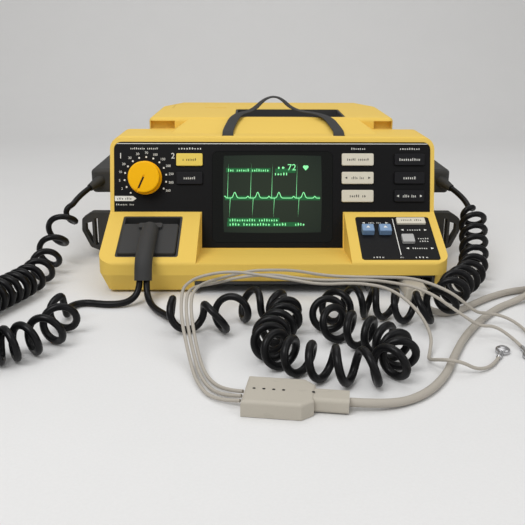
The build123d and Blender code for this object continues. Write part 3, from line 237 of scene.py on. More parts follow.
@dataclass(frozen=True)
class Finish:
    """A moulded, painted, rubber or metal finish.

    Colour is linear, grain is in ridges per metre, depth is the grain's height in metres, and mottle and
    scuff are shares of the colour.
    """

    name: str
    colour: Colour
    roughness: float = 0.5
    grain: float = 900.0
    depth: float = 0.00006
    mottle: float = 0.12
    scuff: float = 0.05
    metallic: float = 0.0
    coat: float = 0.0
    sheen: float = 0.0

    def build(self) -> bpy.types.Material:
        """The finish as a material. One that has its name already is used as it stands."""
        if self.name in bpy.data.materials:
            return bpy.data.materials[self.name]
        material = bpy.data.materials.new(self.name)
        material.use_nodes = True
        tree = material.node_tree
        shader = tree.nodes["Principled BSDF"]
        skin = tree.nodes.new("ShaderNodeGroup")
        skin.node_tree = moulded_group()
        skin.inputs["Base"].default_value = (*self.colour, 1.0)
        skin.inputs["Roughness"].default_value = self.roughness
        skin.inputs["Grain"].default_value = self.grain
        skin.inputs["Mottle"].default_value = self.mottle
        skin.inputs["Scuff"].default_value = self.scuff
        bump = tree.nodes.new("ShaderNodeBump")
        bump.inputs["Distance"].default_value = self.depth
        bump.inputs["Strength"].default_value = 1.0
        tree.links.new(skin.outputs["Height"], bump.inputs["Height"])
        tree.links.new(skin.outputs["Colour"], shader.inputs["Base Color"])
        tree.links.new(skin.outputs["Roughness"], shader.inputs["Roughness"])
        tree.links.new(bump.outputs["Normal"], shader.inputs["Normal"])
        shader.inputs["Metallic"].default_value = self.metallic
        specular = METAL_SPECULAR if self.metallic > 0 else PLAIN_SPECULAR
        shader.inputs["Specular IOR Level"].default_value = specular
        shader.inputs["Coat Weight"].default_value = self.coat
        shader.inputs["Coat Roughness"].default_value = 0.15
        shader.inputs["Sheen Weight"].default_value = self.sheen
        material.diffuse_color = (*self.colour, 1.0)
        return material


@dataclass(frozen=True)
class Webbing:
    """A woven band, with its threads from the piece's UV map."""

    name: str
    colour: Colour
    threads: float = 900.0

    def build(self) -> bpy.types.Material:
        """The webbing as a material. One that has its name already is used as it stands."""
        if self.name in bpy.data.materials:
            return bpy.data.materials[self.name]
        material = bpy.data.materials.new(self.name)
        material.use_nodes = True
        tree = material.node_tree
        shader = tree.nodes["Principled BSDF"]
        weave = tree.nodes.new("ShaderNodeGroup")
        weave.node_tree = woven_group()
        weave.inputs["Base"].default_value = (*self.colour, 1.0)
        weave.inputs["Threads"].default_value = self.threads
        bump = tree.nodes.new("ShaderNodeBump")
        bump.inputs["Distance"].default_value = 0.0003
        tree.links.new(weave.outputs["Height"], bump.inputs["Height"])
        tree.links.new(weave.outputs["Colour"], shader.inputs["Base Color"])
        tree.links.new(bump.outputs["Normal"], shader.inputs["Normal"])
        shader.inputs["Roughness"].default_value = 0.75
        shader.inputs["Sheen Weight"].default_value = 0.3
        return material


@dataclass(frozen=True)
class Phosphor:
    """A glowing face or trace on the picture tube."""

    name: str
    glow: Colour
    strength: float
    lines: float = 0.0

    def build(self) -> bpy.types.Material:
        """The glow as a material. One that has its name already is used as it stands."""
        if self.name in bpy.data.materials:
            return bpy.data.materials[self.name]
        material = bpy.data.materials.new(self.name)
        material.use_nodes = True
        tree = material.node_tree
        shader = tree.nodes["Principled BSDF"]
        shader.inputs["Base Color"].default_value = (0.004, 0.012, 0.009, 1.0)
        shader.inputs["Roughness"].default_value = 0.12
        shader.inputs["Emission Strength"].default_value = self.strength
        if self.lines:
            raster = tree.nodes.new("ShaderNodeGroup")
            raster.node_tree = scan_group()
            raster.inputs["Glow"].default_value = (*self.glow, 1.0)
            raster.inputs["Lines"].default_value = self.lines
            tree.links.new(raster.outputs["Colour"], shader.inputs["Emission Color"])
        else:
            shader.inputs["Emission Color"].default_value = (*self.glow, 1.0)
        return material


class Look(Enum):
    """Every finish on the device."""

    CASE = Finish("case_yellow", srgb(246, 180, 0), 0.44, 1500.0, 0.00003, 0.10, 0.02, coat=0.04)
    BLACK = Finish("black_plastic", srgb(16, 16, 17), 0.46, 1800.0, 0.00005, 0.20, 0.02)
    OVERLAY = Finish("panel_overlay", srgb(13, 13, 15), 0.5, 2600.0, 0.00003, 0.15, 0.01)
    DARK_KEY = Finish("dark_key", srgb(26, 26, 29), 0.46, 1800.0, 0.00003, 0.12, 0.02)
    YELLOW_KEY = Finish("yellow_key", srgb(248, 190, 4), 0.4, 1800.0, 0.00003, 0.08, 0.03)
    BEIGE_KEY = Finish("beige_key", srgb(214, 208, 188), 0.42, 1800.0, 0.00003, 0.08, 0.03)
    GREY_KEY = Finish("grey_key", srgb(158, 156, 150), 0.45, 1800.0, 0.00003, 0.08, 0.03)
    BLUE_KEY = Finish("blue_key", srgb(84, 128, 176), 0.4, 1800.0, 0.00003, 0.08, 0.02)
    ORANGE_KEY = Finish("orange_key", srgb(226, 84, 24), 0.4, 1800.0, 0.00003, 0.08, 0.02)
    DIAL = Finish("dial_yellow", srgb(248, 184, 0), 0.4, 1800.0, 0.00002, 0.06, 0.03, coat=0.05)
    GLASS = Finish("tinted_filter", srgb(9, 12, 11), 0.1, 1500.0, 0.000002, 0.05, 0.0, coat=0.4)
    RUBBER = Finish("black_rubber", srgb(15, 15, 16), 0.6, 1400.0, 0.00006, 0.15, 0.03)
    CORD = Finish("cord_rubber", srgb(14, 14, 16), 0.42, 1400.0, 0.00004, 0.18, 0.02, coat=0.1)
    CABLE = Finish("cable_jacket", srgb(176, 170, 160), 0.46, 1200.0, 0.00004, 0.10, 0.04)
    YOKE = Finish("yoke_moulding", srgb(184, 178, 166), 0.42, 1500.0, 0.00004, 0.10, 0.05)
    STEEL = Finish("fine_steel", srgb(196, 196, 198), 0.3, 3000.0, 0.00001, 0.08, 0.05, metallic=1.0)
    ALUMINIUM = Finish("sheet_aluminium", srgb(200, 200, 202), 0.4, 1500.0, 0.00002, 0.08, 0.05, metallic=1.0)
    COPPER = Finish("enamelled_copper", srgb(168, 92, 50), 0.35, 1500.0, 0.00008, 0.10, 0.0, metallic=0.8)
    BOARD = Finish("solder_mask", srgb(24, 96, 52), 0.4, 1200.0, 0.00004, 0.15, 0.0)
    INNER = Finish("inner_moulding", srgb(150, 148, 142), 0.5, 1200.0, 0.00005, 0.10, 0.03)
    PAPER = Finish("roll_paper", srgb(236, 234, 226), 0.8, 2000.0, 0.00003, 0.04, 0.0)
    WHITE_INK = Finish("white_ink", srgb(232, 232, 226), 0.5, 1500.0, 0.000005, 0.04, 0.0)
    BLACK_INK = Finish("black_ink", srgb(26, 26, 28), 0.5, 1500.0, 0.000005, 0.04, 0.0)
    WEBBING = Webbing("black_webbing", srgb(16, 16, 17))
    RASTER = Phosphor("tube_raster", (0.018, 0.022, 0.012), 1.0, 120.0)
    TRACE = Phosphor("tube_trace", (0.25, 0.85, 0.35), 1.3)
    HALO = Phosphor("tube_halo", (0.010, 0.110, 0.030), 1.0)


# ---------------------------------------------------------------- meshes


def mesh_piece(name: str, corners: np.ndarray, faces: Sequence, look: Look, body: str = "case",
               uv: np.ndarray | None = None, smooth: bool = True) -> bpy.types.Object:
    """A mesh object that rides on a body.

    Args:
        name: the piece's name.
        corners: its vertices in metres, one row each.
        faces: its faces as vertex numbers.
        look: its finish.
        body: the CAD body it moves with, or an empty string for none.
        uv: a coordinate for each vertex.
        smooth: whether its faces shade smoothly.
    Returns:
        The object.
    """
    mesh = bpy.data.meshes.new(name)
    rows = faces.tolist() if isinstance(faces, np.ndarray) else faces
    mesh.from_pydata(np.asarray(corners, float).tolist(), [], rows)
    mesh.polygons.foreach_set("use_smooth", [smooth] * len(mesh.polygons))
    if uv is not None:
        layer = mesh.uv_layers.new(name="UVMap")
        index = np.zeros(len(mesh.loops), np.int64)
        mesh.loops.foreach_get("vertex_index", index)
        layer.data.foreach_set("uv", np.asarray(uv, np.float32)[index].ravel())
    mesh.materials.append(look.value.build())
    mesh.update()
    piece = bpy.data.objects.new(name, mesh)
    bpy.context.scene.collection.objects.link(piece)
    if body:
        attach(piece, body)
    return piece


def grid_faces(rows: int, columns: int, closed_columns: bool = False) -> np.ndarray:
    """Quads of a grid of vertices, row after row, wrapping round the columns if they are closed."""
    steps = columns if closed_columns else columns - 1
    row, column = np.meshgrid(np.arange(rows - 1), np.arange(steps), indexing="ij")
    after = (column + 1) % columns
    low, high = row * columns, (row + 1) * columns
    quads = [low + column, low + after, high + after, high + column]
    return np.stack(quads, -1).reshape(-1, 4)


def frames_along(path: np.ndarray) -> tuple[np.ndarray, np.ndarray, np.ndarray]:
    """Tangent, side and up directions along a path that doesn't run straight up.

    The side is level, at right angles to the run, and the up direction completes the frame.
    """
    tangent = np.gradient(path, axis=0)
    tangent /= np.linalg.norm(tangent, axis=1, keepdims=True)
    side = np.cross(tangent, [0.0, 0.0, 1.0])
    side /= np.maximum(np.linalg.norm(side, axis=1, keepdims=True), 1e-9)
    return tangent, side, np.cross(side, tangent)


def turned_frames(path: np.ndarray) -> tuple[np.ndarray, np.ndarray]:
    """Two directions across a path that don't twist about it.

    Each next pair is the last one made square to the new tangent, which the loop over samples carries along.
    """
    tangent = np.gradient(path, axis=0)
    tangent /= np.linalg.norm(tangent, axis=1, keepdims=True)
    first = np.zeros_like(path)
    start = np.cross(tangent[0], [0.0, 0.0, 1.0])
    if np.linalg.norm(start) < 1e-6:
        start = np.array([1.0, 0.0, 0.0])
    first[0] = start / np.linalg.norm(start)
    for i in range(1, len(path)):
        carried = first[i - 1] - tangent[i] * np.dot(first[i - 1], tangent[i])
        first[i] = carried / np.linalg.norm(carried)
    return first, np.cross(tangent, first)


def tube_mesh(path: np.ndarray, radius: float, sides: int = 10) -> tuple[np.ndarray, list, np.ndarray]:
    """A round tube along a path, closed at both ends.

    Each ring is the path's point plus radius times the cosine and sine of an angle along two directions
    across it.
    """
    one, two = turned_frames(path)
    angle = np.linspace(0.0, 2 * math.pi, sides, endpoint=False)
    ring = one[:, None] * np.cos(angle)[None, :, None] + two[:, None] * np.sin(angle)[None, :, None]
    corners = (path[:, None] + radius * ring).reshape(-1, 3)
    quads = grid_faces(len(path), sides, True)[:, ::-1].tolist()
    last = (len(path) - 1) * sides
    quads.append(list(range(sides)))
    quads.append([last + i for i in reversed(range(sides))])
    run = np.concatenate([[0.0], np.cumsum(np.linalg.norm(np.diff(path, axis=0), axis=1))])
    uv = np.stack(np.broadcast_arrays(run[:, None], angle[None] * radius), -1).reshape(-1, 2)
    return corners, quads, uv


# ---------------------------------------------------------------- flat places on the device


@dataclass(frozen=True)
class Face:
    """A flat face of the device with its own x and up, in millimetres."""

    turn: float

    def place(self, x: np.ndarray, up: np.ndarray, height: float | np.ndarray) -> np.ndarray:
        """Points in metres; the face's up direction is (0, sine, cosine) of its turn from upright."""
        x, up, height = np.broadcast_arrays(np.asarray(x, float), up, height)
        sine, cosine = math.sin(self.turn), math.cos(self.turn)
        y = EDGE_Y + up * sine - height * cosine
        z = EDGE_Z + up * cosine + height * sine
        return np.stack([x, y, z], -1) * MM


PANEL = Face(PANEL_TILT)
DECK = Face(math.pi / 2 - DECK_SLOPE)


class Print:
    """Flat ink on a face, gathered as one mesh."""

    def __init__(self, face: Face, height: float) -> None:
        """Starts an empty print at a height over the face, in millimetres."""
        self.face = face
        self.height = height
        self.corners: list[np.ndarray] = []
        self.faces: list[list[int]] = []

    def outline(self, points: Sequence[tuple[float, float]]) -> None:
        """Adds one flat shape from its outline, anticlockwise."""
        flat = np.array(points, float)
        start = sum(len(c) for c in self.corners)
        self.corners.append(self.face.place(flat[:, 0], flat[:, 1], self.height))
        self.faces.append(list(range(start, start + len(flat))))

    def bar(self, x: float, up: float, width: float, height: float) -> None:
        """Adds one bar about its middle."""
        w, h = width / 2, height / 2
        self.outline([(x - w, up - h), (x + w, up - h), (x + w, up + h), (x - w, up + h)])

    def dot(self, x: float, up: float, radius: float, sides: int = 14) -> None:
        """Adds one round dot."""
        angle = np.linspace(0, 2 * math.pi, sides, endpoint=False)
        self.outline(list(zip(x + radius * np.cos(angle), up + radius * np.sin(angle))))

    def arrow(self, x: float, up: float, size: float, way: int) -> None:
        """Adds a small triangle that points left or right."""
        half = size / 2
        points = [(x - way * half, up - half), (x + way * half, up), (x - way * half, up + half)]
        self.outline(points if way > 0 else points[::-1])

    def legend(self, x: float, up: float, width: float, height: float, words: Sequence[int] = (5, 7)) -> None:
        """Adds a row of plain strokes in the place of words.

        Stroke i of a word is a bar whose height follows a fixed cycle, so that the row has the rhythm of
        lettering and says nothing.
        """
        count = sum(words) + len(words) - 1
        step = width / count
        cursor = x - width / 2
        cycle = (1.0, 0.72, 0.72, 0.95, 0.72, 0.8, 0.72)
        for word in words:
            for i in range(word):
                tall = height * cycle[(i * 3 + word) % 7]
                self.bar(cursor + step * 0.42, up - (height - tall) / 2, step * 0.34, tall)
                if i % 2:
                    self.bar(cursor + step * 0.5, up - (height - tall) / 2, step * 0.7, height * 0.22)
                cursor += step
            cursor += step

    def number(self, text: str, x: float, up: float, size: float) -> None:
        """Adds digits, set in a plain face, about their middle."""
        curve = bpy.data.curves.new("digits", "FONT")
        curve.body = text
        curve.size = size
        curve.align_x = "CENTER"
        curve.align_y = "CENTER"
        holder = bpy.data.objects.new("digits", curve)
        mesh = bpy.data.meshes.new_from_object(holder)
        flat = np.zeros(len(mesh.vertices) * 3)
        mesh.vertices.foreach_get("co", flat)
        flat = flat.reshape(-1, 3)
        start = sum(len(c) for c in self.corners)
        self.corners.append(self.face.place(x + flat[:, 0], up + flat[:, 1], self.height))
        self.faces.extend([start + v for v in p.vertices] for p in mesh.polygons)
        bpy.data.objects.remove(holder)
        bpy.data.curves.remove(curve)
        bpy.data.meshes.remove(mesh)

    def stroke(self, points: Sequence[tuple[float, float]], width: float) -> None:
        """Adds a line of even width.

        Each joint lies half a width either side of its point, along the mean of its two runs' normals.
        """
        line = np.array(points, float)
        run = np.diff(line, axis=0)
        run /= np.maximum(np.linalg.norm(run, axis=1, keepdims=True), 1e-9)
        normal = np.stack([-run[:, 1], run[:, 0]], -1)
        joint = np.vstack([normal[:1], normal[:-1] + normal[1:], normal[-1:]])
        joint /= np.maximum(np.linalg.norm(joint, axis=1, keepdims=True), 0.5)
        left, right = line + joint * width / 2, line - joint * width / 2
        start = sum(len(c) for c in self.corners)
        both = np.stack([left, right], 1).reshape(-1, 2)
        self.corners.append(self.face.place(both[:, 0], both[:, 1], self.height))
        self.faces.extend([start + 2 * i + 1, start + 2 * i + 3, start + 2 * i + 2, start + 2 * i]
                          for i in range(len(line) - 1))

    def finish(self, name: str, look: Look, body: str = "case") -> bpy.types.Object:
        """The print as a piece that rides on a body."""
        return mesh_piece(name, np.vstack(self.corners), self.faces, look, body, smooth=False)


# ---------------------------------------------------------------- CAD nodes


CAD_LOOKS: dict[Look, tuple[str, ...]] = {
    Look.CASE: ("upper_case", "lower_tray", "recorder_door"),
    Look.BLACK: ("connector_bay", "paddle_socket", "paddle_plug", "handle_well", "cord_guards",
                 "paddle_shell_left", "paddle_shell_right"),
    Look.OVERLAY: ("front_panel", "pacer_pad"),
    Look.DARK_KEY: ("sync_key", "record_key", "mark_key", "trend_key"),
    Look.YELLOW_KEY: ("charge_key",),
    Look.BEIGE_KEY: ("lead_key", "size_key", "alarm_key", "pacer_key"),
    Look.GREY_KEY: ("pacer_start_key",),
    Look.BLUE_KEY: ("rate_key", "output_key"),
    Look.ORANGE_KEY: ("discharge_button_left", "discharge_button_right"),
    Look.DIAL: ("energy_knob",),
    Look.GLASS: ("screen_window", "picture_tube"),
    Look.RUBBER: ("rubber_feet", "plug_boot", "paddle_boot_left", "paddle_boot_right"),
    Look.YOKE: ("lead_plug", "lead_yoke"),
    Look.STEEL: ("case_screws", "knob_shaft", "paddle_electrode_left", "paddle_electrode_right"),
    Look.ALUMINIUM: ("chassis_frame", "storage_capacitor"),
    Look.COPPER: ("tube_yoke", "waveform_inductor"),
    Look.BOARD: ("circuit_boards",),
    Look.INNER: ("rotary_switch", "battery_pack", "recorder_body"),
    Look.PAPER: ("paper_roll",),
}


def dress_nodes(nodes: dict[str, bpy.types.Object]) -> None:
    """Gives every CAD node the material of its finish's name.

    The frame brings its own plain materials. Where one has the finish's name, the node keeps that plain
    material and the finish isn't made.
    """
    for look, names in CAD_LOOKS.items():
        for name in names:
            node = nodes[name]
            node.data.materials.clear()
            node.data.materials.append(look.value.build())
            log.info("%s has the material %s", name, look.value.name)


# ---------------------------------------------------------------- cords


def spline_curve(name: str, points: np.ndarray) -> bpy.types.Object:
    """A curve object of one open NURBS spline of order three, with the points in metres."""
    curve = bpy.data.curves.new(name, "CURVE")
    curve.dimensions = "3D"
    curve.resolution_u = 12
    spline = curve.splines.new("NURBS")
    spline.points.add(len(points) - 1)
    spline.points.foreach_set("co", np.hstack([points, np.ones((len(points), 1))]).ravel())
    spline.order_u = 3
    spline.use_endpoint_u = True
    piece = bpy.data.objects.new(name, curve)
    bpy.context.scene.collection.objects.link(piece)
    return piece


def spline_points(points: np.ndarray) -> np.ndarray:
    """The line that a route's spline follows, as evenly spaced points a millimetre apart."""
    holder = spline_curve("route", points)
    mesh = bpy.data.meshes.new_from_object(holder)
    line = np.zeros(len(mesh.vertices) * 3)
    mesh.vertices.foreach_get("co", line)
    line = line.reshape(-1, 3)
    curve = holder.data
    bpy.data.objects.remove(holder)
    bpy.data.curves.remove(curve)
    bpy.data.meshes.remove(mesh)
    return evenly(line, 0.001)


def evenly(line: np.ndarray, step: float) -> np.ndarray:
    """The same line with its points a step apart along it."""
    run = np.concatenate([[0.0], np.cumsum(np.linalg.norm(np.diff(line, axis=0), axis=1))])
    keep = np.concatenate([[True], np.diff(run) > 1e-9])
    line, run = line[keep], run[keep]
    at = np.linspace(0.0, run[-1], max(2, int(round(run[-1] / step)) + 1))
    return np.stack([np.interp(at, run, line[:, k]) for k in range(3)], -1)


def line_length(line: np.ndarray) -> float:
    """The length of a line of points."""
    return float(np.linalg.norm(np.diff(line, axis=0), axis=1).sum())


LEFT_TAIL: Points = [
    (-130.4, -196.5, 22.0), (-130.4, -201.0, 12.4), (-138.0, -208.5, 5.0), (-150.0, -212.5, 3.5),
    (-165.5, -211.5, 3.5), (-181.0, -206.5, 3.5), (-193.0, -214.0, 3.8), (-192.7, -232.0, 5.0),
    (-189.0, -250.0, 5.0),
]
LEFT_COIL: Points = [
    (-189.0, -250.0, 16.3), (-182.0, -284.0, 16.3), (-194.0, -318.0, 16.3), (-222.0, -342.0, 16.3),
    (-256.0, -338.0, 16.3), (-276.0, -306.0, 16.3), (-277.0, -266.0, 16.3), (-263.0, -228.0, 16.3),
    (-247.0, -190.0, 16.3), (-239.0, -150.0, 16.3), (-241.0, -112.0, 20.0), (-238.0, -82.0, 38.0),
    (-230.0, -56.0, 58.0), (-223.6, -28.6, 69.0), (-214.0, -13.0, 75.0),
]
RIGHT_TAIL: Points = [
    (-123.6, -196.5, 22.0), (-123.6, -201.0, 12.4), (-119.5, -211.0, 5.2), (-112.0, -226.0, 3.6),
    (-101.6, -241.6, 5.0), (-92.0, -256.0, 5.0),
]
RIGHT_COIL: Points = [
    (-92.0, -256.0, 16.3), (-76.0, -280.0, 16.3), (-50.0, -282.0, 16.3), (-36.0, -252.0, 16.3),
    (-14.0, -240.0, 16.3), (8.0, -254.0, 16.3), (8.0, -284.0, 16.3), (-6.0, -310.0, 16.3),
    (-8.0, -338.0, 16.3), (12.0, -359.0, 16.3), (40.0, -373.0, 16.3), (70.0, -378.0, 16.3),
    (94.0, -362.0, 16.3), (92.0, -332.0, 16.3), (70.0, -309.0, 16.3), (46.0, -292.0, 16.3),
    (43.0, -262.0, 16.3), (62.0, -240.0, 16.3), (90.0, -237.0, 16.3), (114.0, -254.0, 16.3),
    (138.0, -263.0, 19.0), (160.0, -244.0, 24.5), (172.0, -213.0, 24.5), (188.0, -185.0, 19.0),
    (204.0, -154.0, 16.3), (215.0, -123.0, 20.0), (222.0, -92.0, 36.0), (228.0, -60.0, 56.0),
    (223.6, -28.6, 69.0), (214.0, -13.0, 75.0),
]
TRUNK_FROM_YOKE: Points = [
    (47.6, -410.83, 6.0), (65.34, -413.32, 6.0), (88.0, -406.0, 3.4), (109.0, -390.0, 3.4),
    (128.0, -362.0, 3.4), (143.0, -327.0, 3.4), (161.0, -290.0, 3.4), (185.0, -253.0, 3.4),
    (212.0, -220.0, 3.4), (238.0, -200.0, 3.4), (256.0, -206.0, 3.6),
]
TRUNK_FROM_PLUG: Points = [
    (139.0, -213.0, 8.5), (139.0, -223.0, 8.5), (145.0, -233.0, 5.0), (159.0, -236.0, 3.4),
    (176.0, -226.0, 3.4), (194.0, -208.0, 3.4), (216.0, -189.0, 3.4), (240.0, -174.0, 3.4),
    (262.0, -166.0, 3.6),
]
LEAD_ONE: Points = [
    (-27.0, -394.5, 6.0), (-40.0, -388.0, 3.4), (-54.0, -368.0, 2.0), (-63.0, -338.0, 6.0),
    (-71.0, -309.0, 30.0), (-73.0, -279.0, 39.0), (-66.0, -247.0, 37.0), (-47.0, -206.0, 29.0),
    (-24.0, -184.0, 28.0), (-4.0, -184.5, 29.0), (20.0, -204.0, 35.0), (44.0, -228.0, 38.0),
    (70.0, -233.0, 38.0), (98.0, -236.0, 39.0), (124.0, -252.0, 43.5), (152.0, -272.0, 38.0),
    (176.0, -266.0, 16.0), (190.0, -256.0, 12.0), (208.0, -256.0, 8.0), (220.0, -270.0, 2.2),
    (219.0, -288.0, 2.2),
]
LEAD_TWO: Points = [
    (-28.0, -400.5, 5.5), (-44.0, -394.0, 2.2), (-58.0, -371.0, 2.0), (-66.5, -339.0, 6.0),
    (-75.0, -310.5, 30.0), (-77.0, -280.0, 39.0), (-73.5, -248.0, 34.0), (-58.0, -217.0, 26.0),
    (-30.0, -201.0, 28.0), (0.0, -213.0, 34.0), (22.0, -236.0, 37.5), (48.0, -243.0, 38.0),
    (76.0, -240.0, 38.0), (102.0, -247.0, 38.5), (130.0, -274.0, 40.0), (156.0, -288.0, 24.0),
    (174.0, -288.0, 12.0), (188.0, -286.0, 12.0), (203.0, -298.0, 3.0), (204.0, -314.0, 2.2),
]
LEAD_THREE: Points = [
    (-29.0, -406.5, 5.0), (-48.0, -401.0, 2.0), (-62.0, -374.0, 2.0), (-70.0, -341.0, 6.0),
    (-79.0, -312.0, 30.0), (-81.0, -282.0, 39.0), (-81.0, -256.0, 38.0), (-71.0, -230.0, 37.5),
    (-42.0, -222.0, 40.5), (-10.0, -238.0, 41.0), (12.0, -248.0, 41.0), (40.0, -256.0, 38.5),
    (72.0, -250.0, 38.5), (100.0, -262.0, 38.0), (118.0, -290.0, 30.0), (129.0, -306.0, 12.0),
    (124.0, -322.0, 2.4), (119.0, -338.0, 4.0), (127.0, -353.0, 11.5), (140.0, -357.0, 11.5),
    (154.0, -355.0, 3.4), (170.0, -344.0, 2.0), (180.0, -326.0, 2.2),
]
STRAP_POINTS: Points = [
    (-48.6, -66.0, 138.0), (-48.6, -61.0, 146.2), (-48.6, -46.0, 148.2), (-41.0, -4.0, 160.2),
    (-22.0, 8.0, 162.4), (-6.0, 14.0, 178.0), (10.0, 14.0, 179.0), (26.0, 8.0, 163.0),
    (63.0, -5.0, 160.0), (73.0, -46.0, 148.2), (73.0, -61.0, 146.2), (73.0, -66.0, 138.0),
]


def route(points: Points) -> np.ndarray:
    """A route's points in metres."""
    return np.array(points, float) * MM


LEFT_PITCHES: Points = [
    (0.0, 27.0), (0.11, 27.0), (0.2, 10.5), (0.6, 10.5), (0.7, 30.0), (1.0, 34.0),
]
RIGHT_PITCHES: Points = [
    (0.0, 34.0), (0.06, 34.0), (0.12, 26.0), (0.16, 16.0), (0.24, 15.0), (0.27, 17.0), (0.35, 22.0),
    (0.41, 15.0), (0.44, 16.0), (0.5, 23.0), (0.59, 18.0), (0.68, 23.0), (0.78, 30.0), (0.88, 18.0),
    (1.0, 17.0),
]


@dataclass
class PaddleCord:
    """A curly cord from the plug's boot to a paddle: a plain tail, a helix and a plain end."""

    side: str
    tail: Points
    coil: Points
    pitches: Points
    thickness: float = 0.0065
    helix_radius: float = 0.01275
    sample: float = 0.0004
    step: float = 0.0014
    passes: int = 8
    lead_in: float = 0.016
    plain_end: float = 0.036
    taper: float = 0.026

    def helix(self, centre: np.ndarray) -> np.ndarray:
        """The coiled wire's centreline about a centreline.

        A point is the centre plus the helix radius times the cosine and sine of an angle. The angle grows by
        a full turn each pitch, and the pitch changes along the cord, where its turns are pulled apart or
        pushed together. The wire starts at the bottom and level with its tail, and the radius falls smoothly
        to nothing before the plain end.

        Args:
            centre: The centreline's points.

        Returns:
            The wire's points.
        """
        length = line_length(centre)
        fine = evenly(centre, self.sample)
        one, two = turned_frames(fine)
        run = np.linspace(0.0, length, len(fine))
        shares, pitches = np.array(self.pitches).T
        rate = 1.0 / (np.interp(run / length, shares, pitches) * MM)
        rate *= np.clip(run / self.lead_in, 0.0, 1.0)
        angle = 2 * math.pi * np.cumsum(rate) * (run[1] - run[0]) - math.pi / 2
        left = np.clip((length - run - self.plain_end) / self.taper, 0.0, 1.0)
        radius = self.helix_radius * left * left * (3 - 2 * left)
        return fine + radius[:, None] * (np.cos(angle)[:, None] * one + np.sin(angle)[:, None] * two)

    def smooth(self, path: np.ndarray) -> np.ndarray:
        """The path spaced evenly, with each inner point moved towards its neighbours' mean."""
        path = evenly(path, self.step)
        for _ in range(self.passes):
            path[1:-1] = path[1:-1] * 0.5 + (path[:-2] + path[2:]) * 0.25
        return evenly(path, self.step)

    def build(self) -> bpy.types.Object:
        """Makes the cord as one tube, bent between the case and its paddle.

        Returns:
            The cord's object.
        """
        tail = spline_points(route(self.tail))[:-5]
        coiled = self.helix(spline_points(route(self.coil)))[12:]
        path = self.smooth(np.vstack([tail, coiled]))
        corners, faces, uv = tube_mesh(path, self.thickness / 2)
        piece = mesh_piece(f"{self.side}_paddle_cord", corners, faces, Look.CORD, "", uv)
        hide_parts(f"{self.side}_cord_tail", f"{self.side}_cord_coil")
        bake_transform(piece)
        return piece


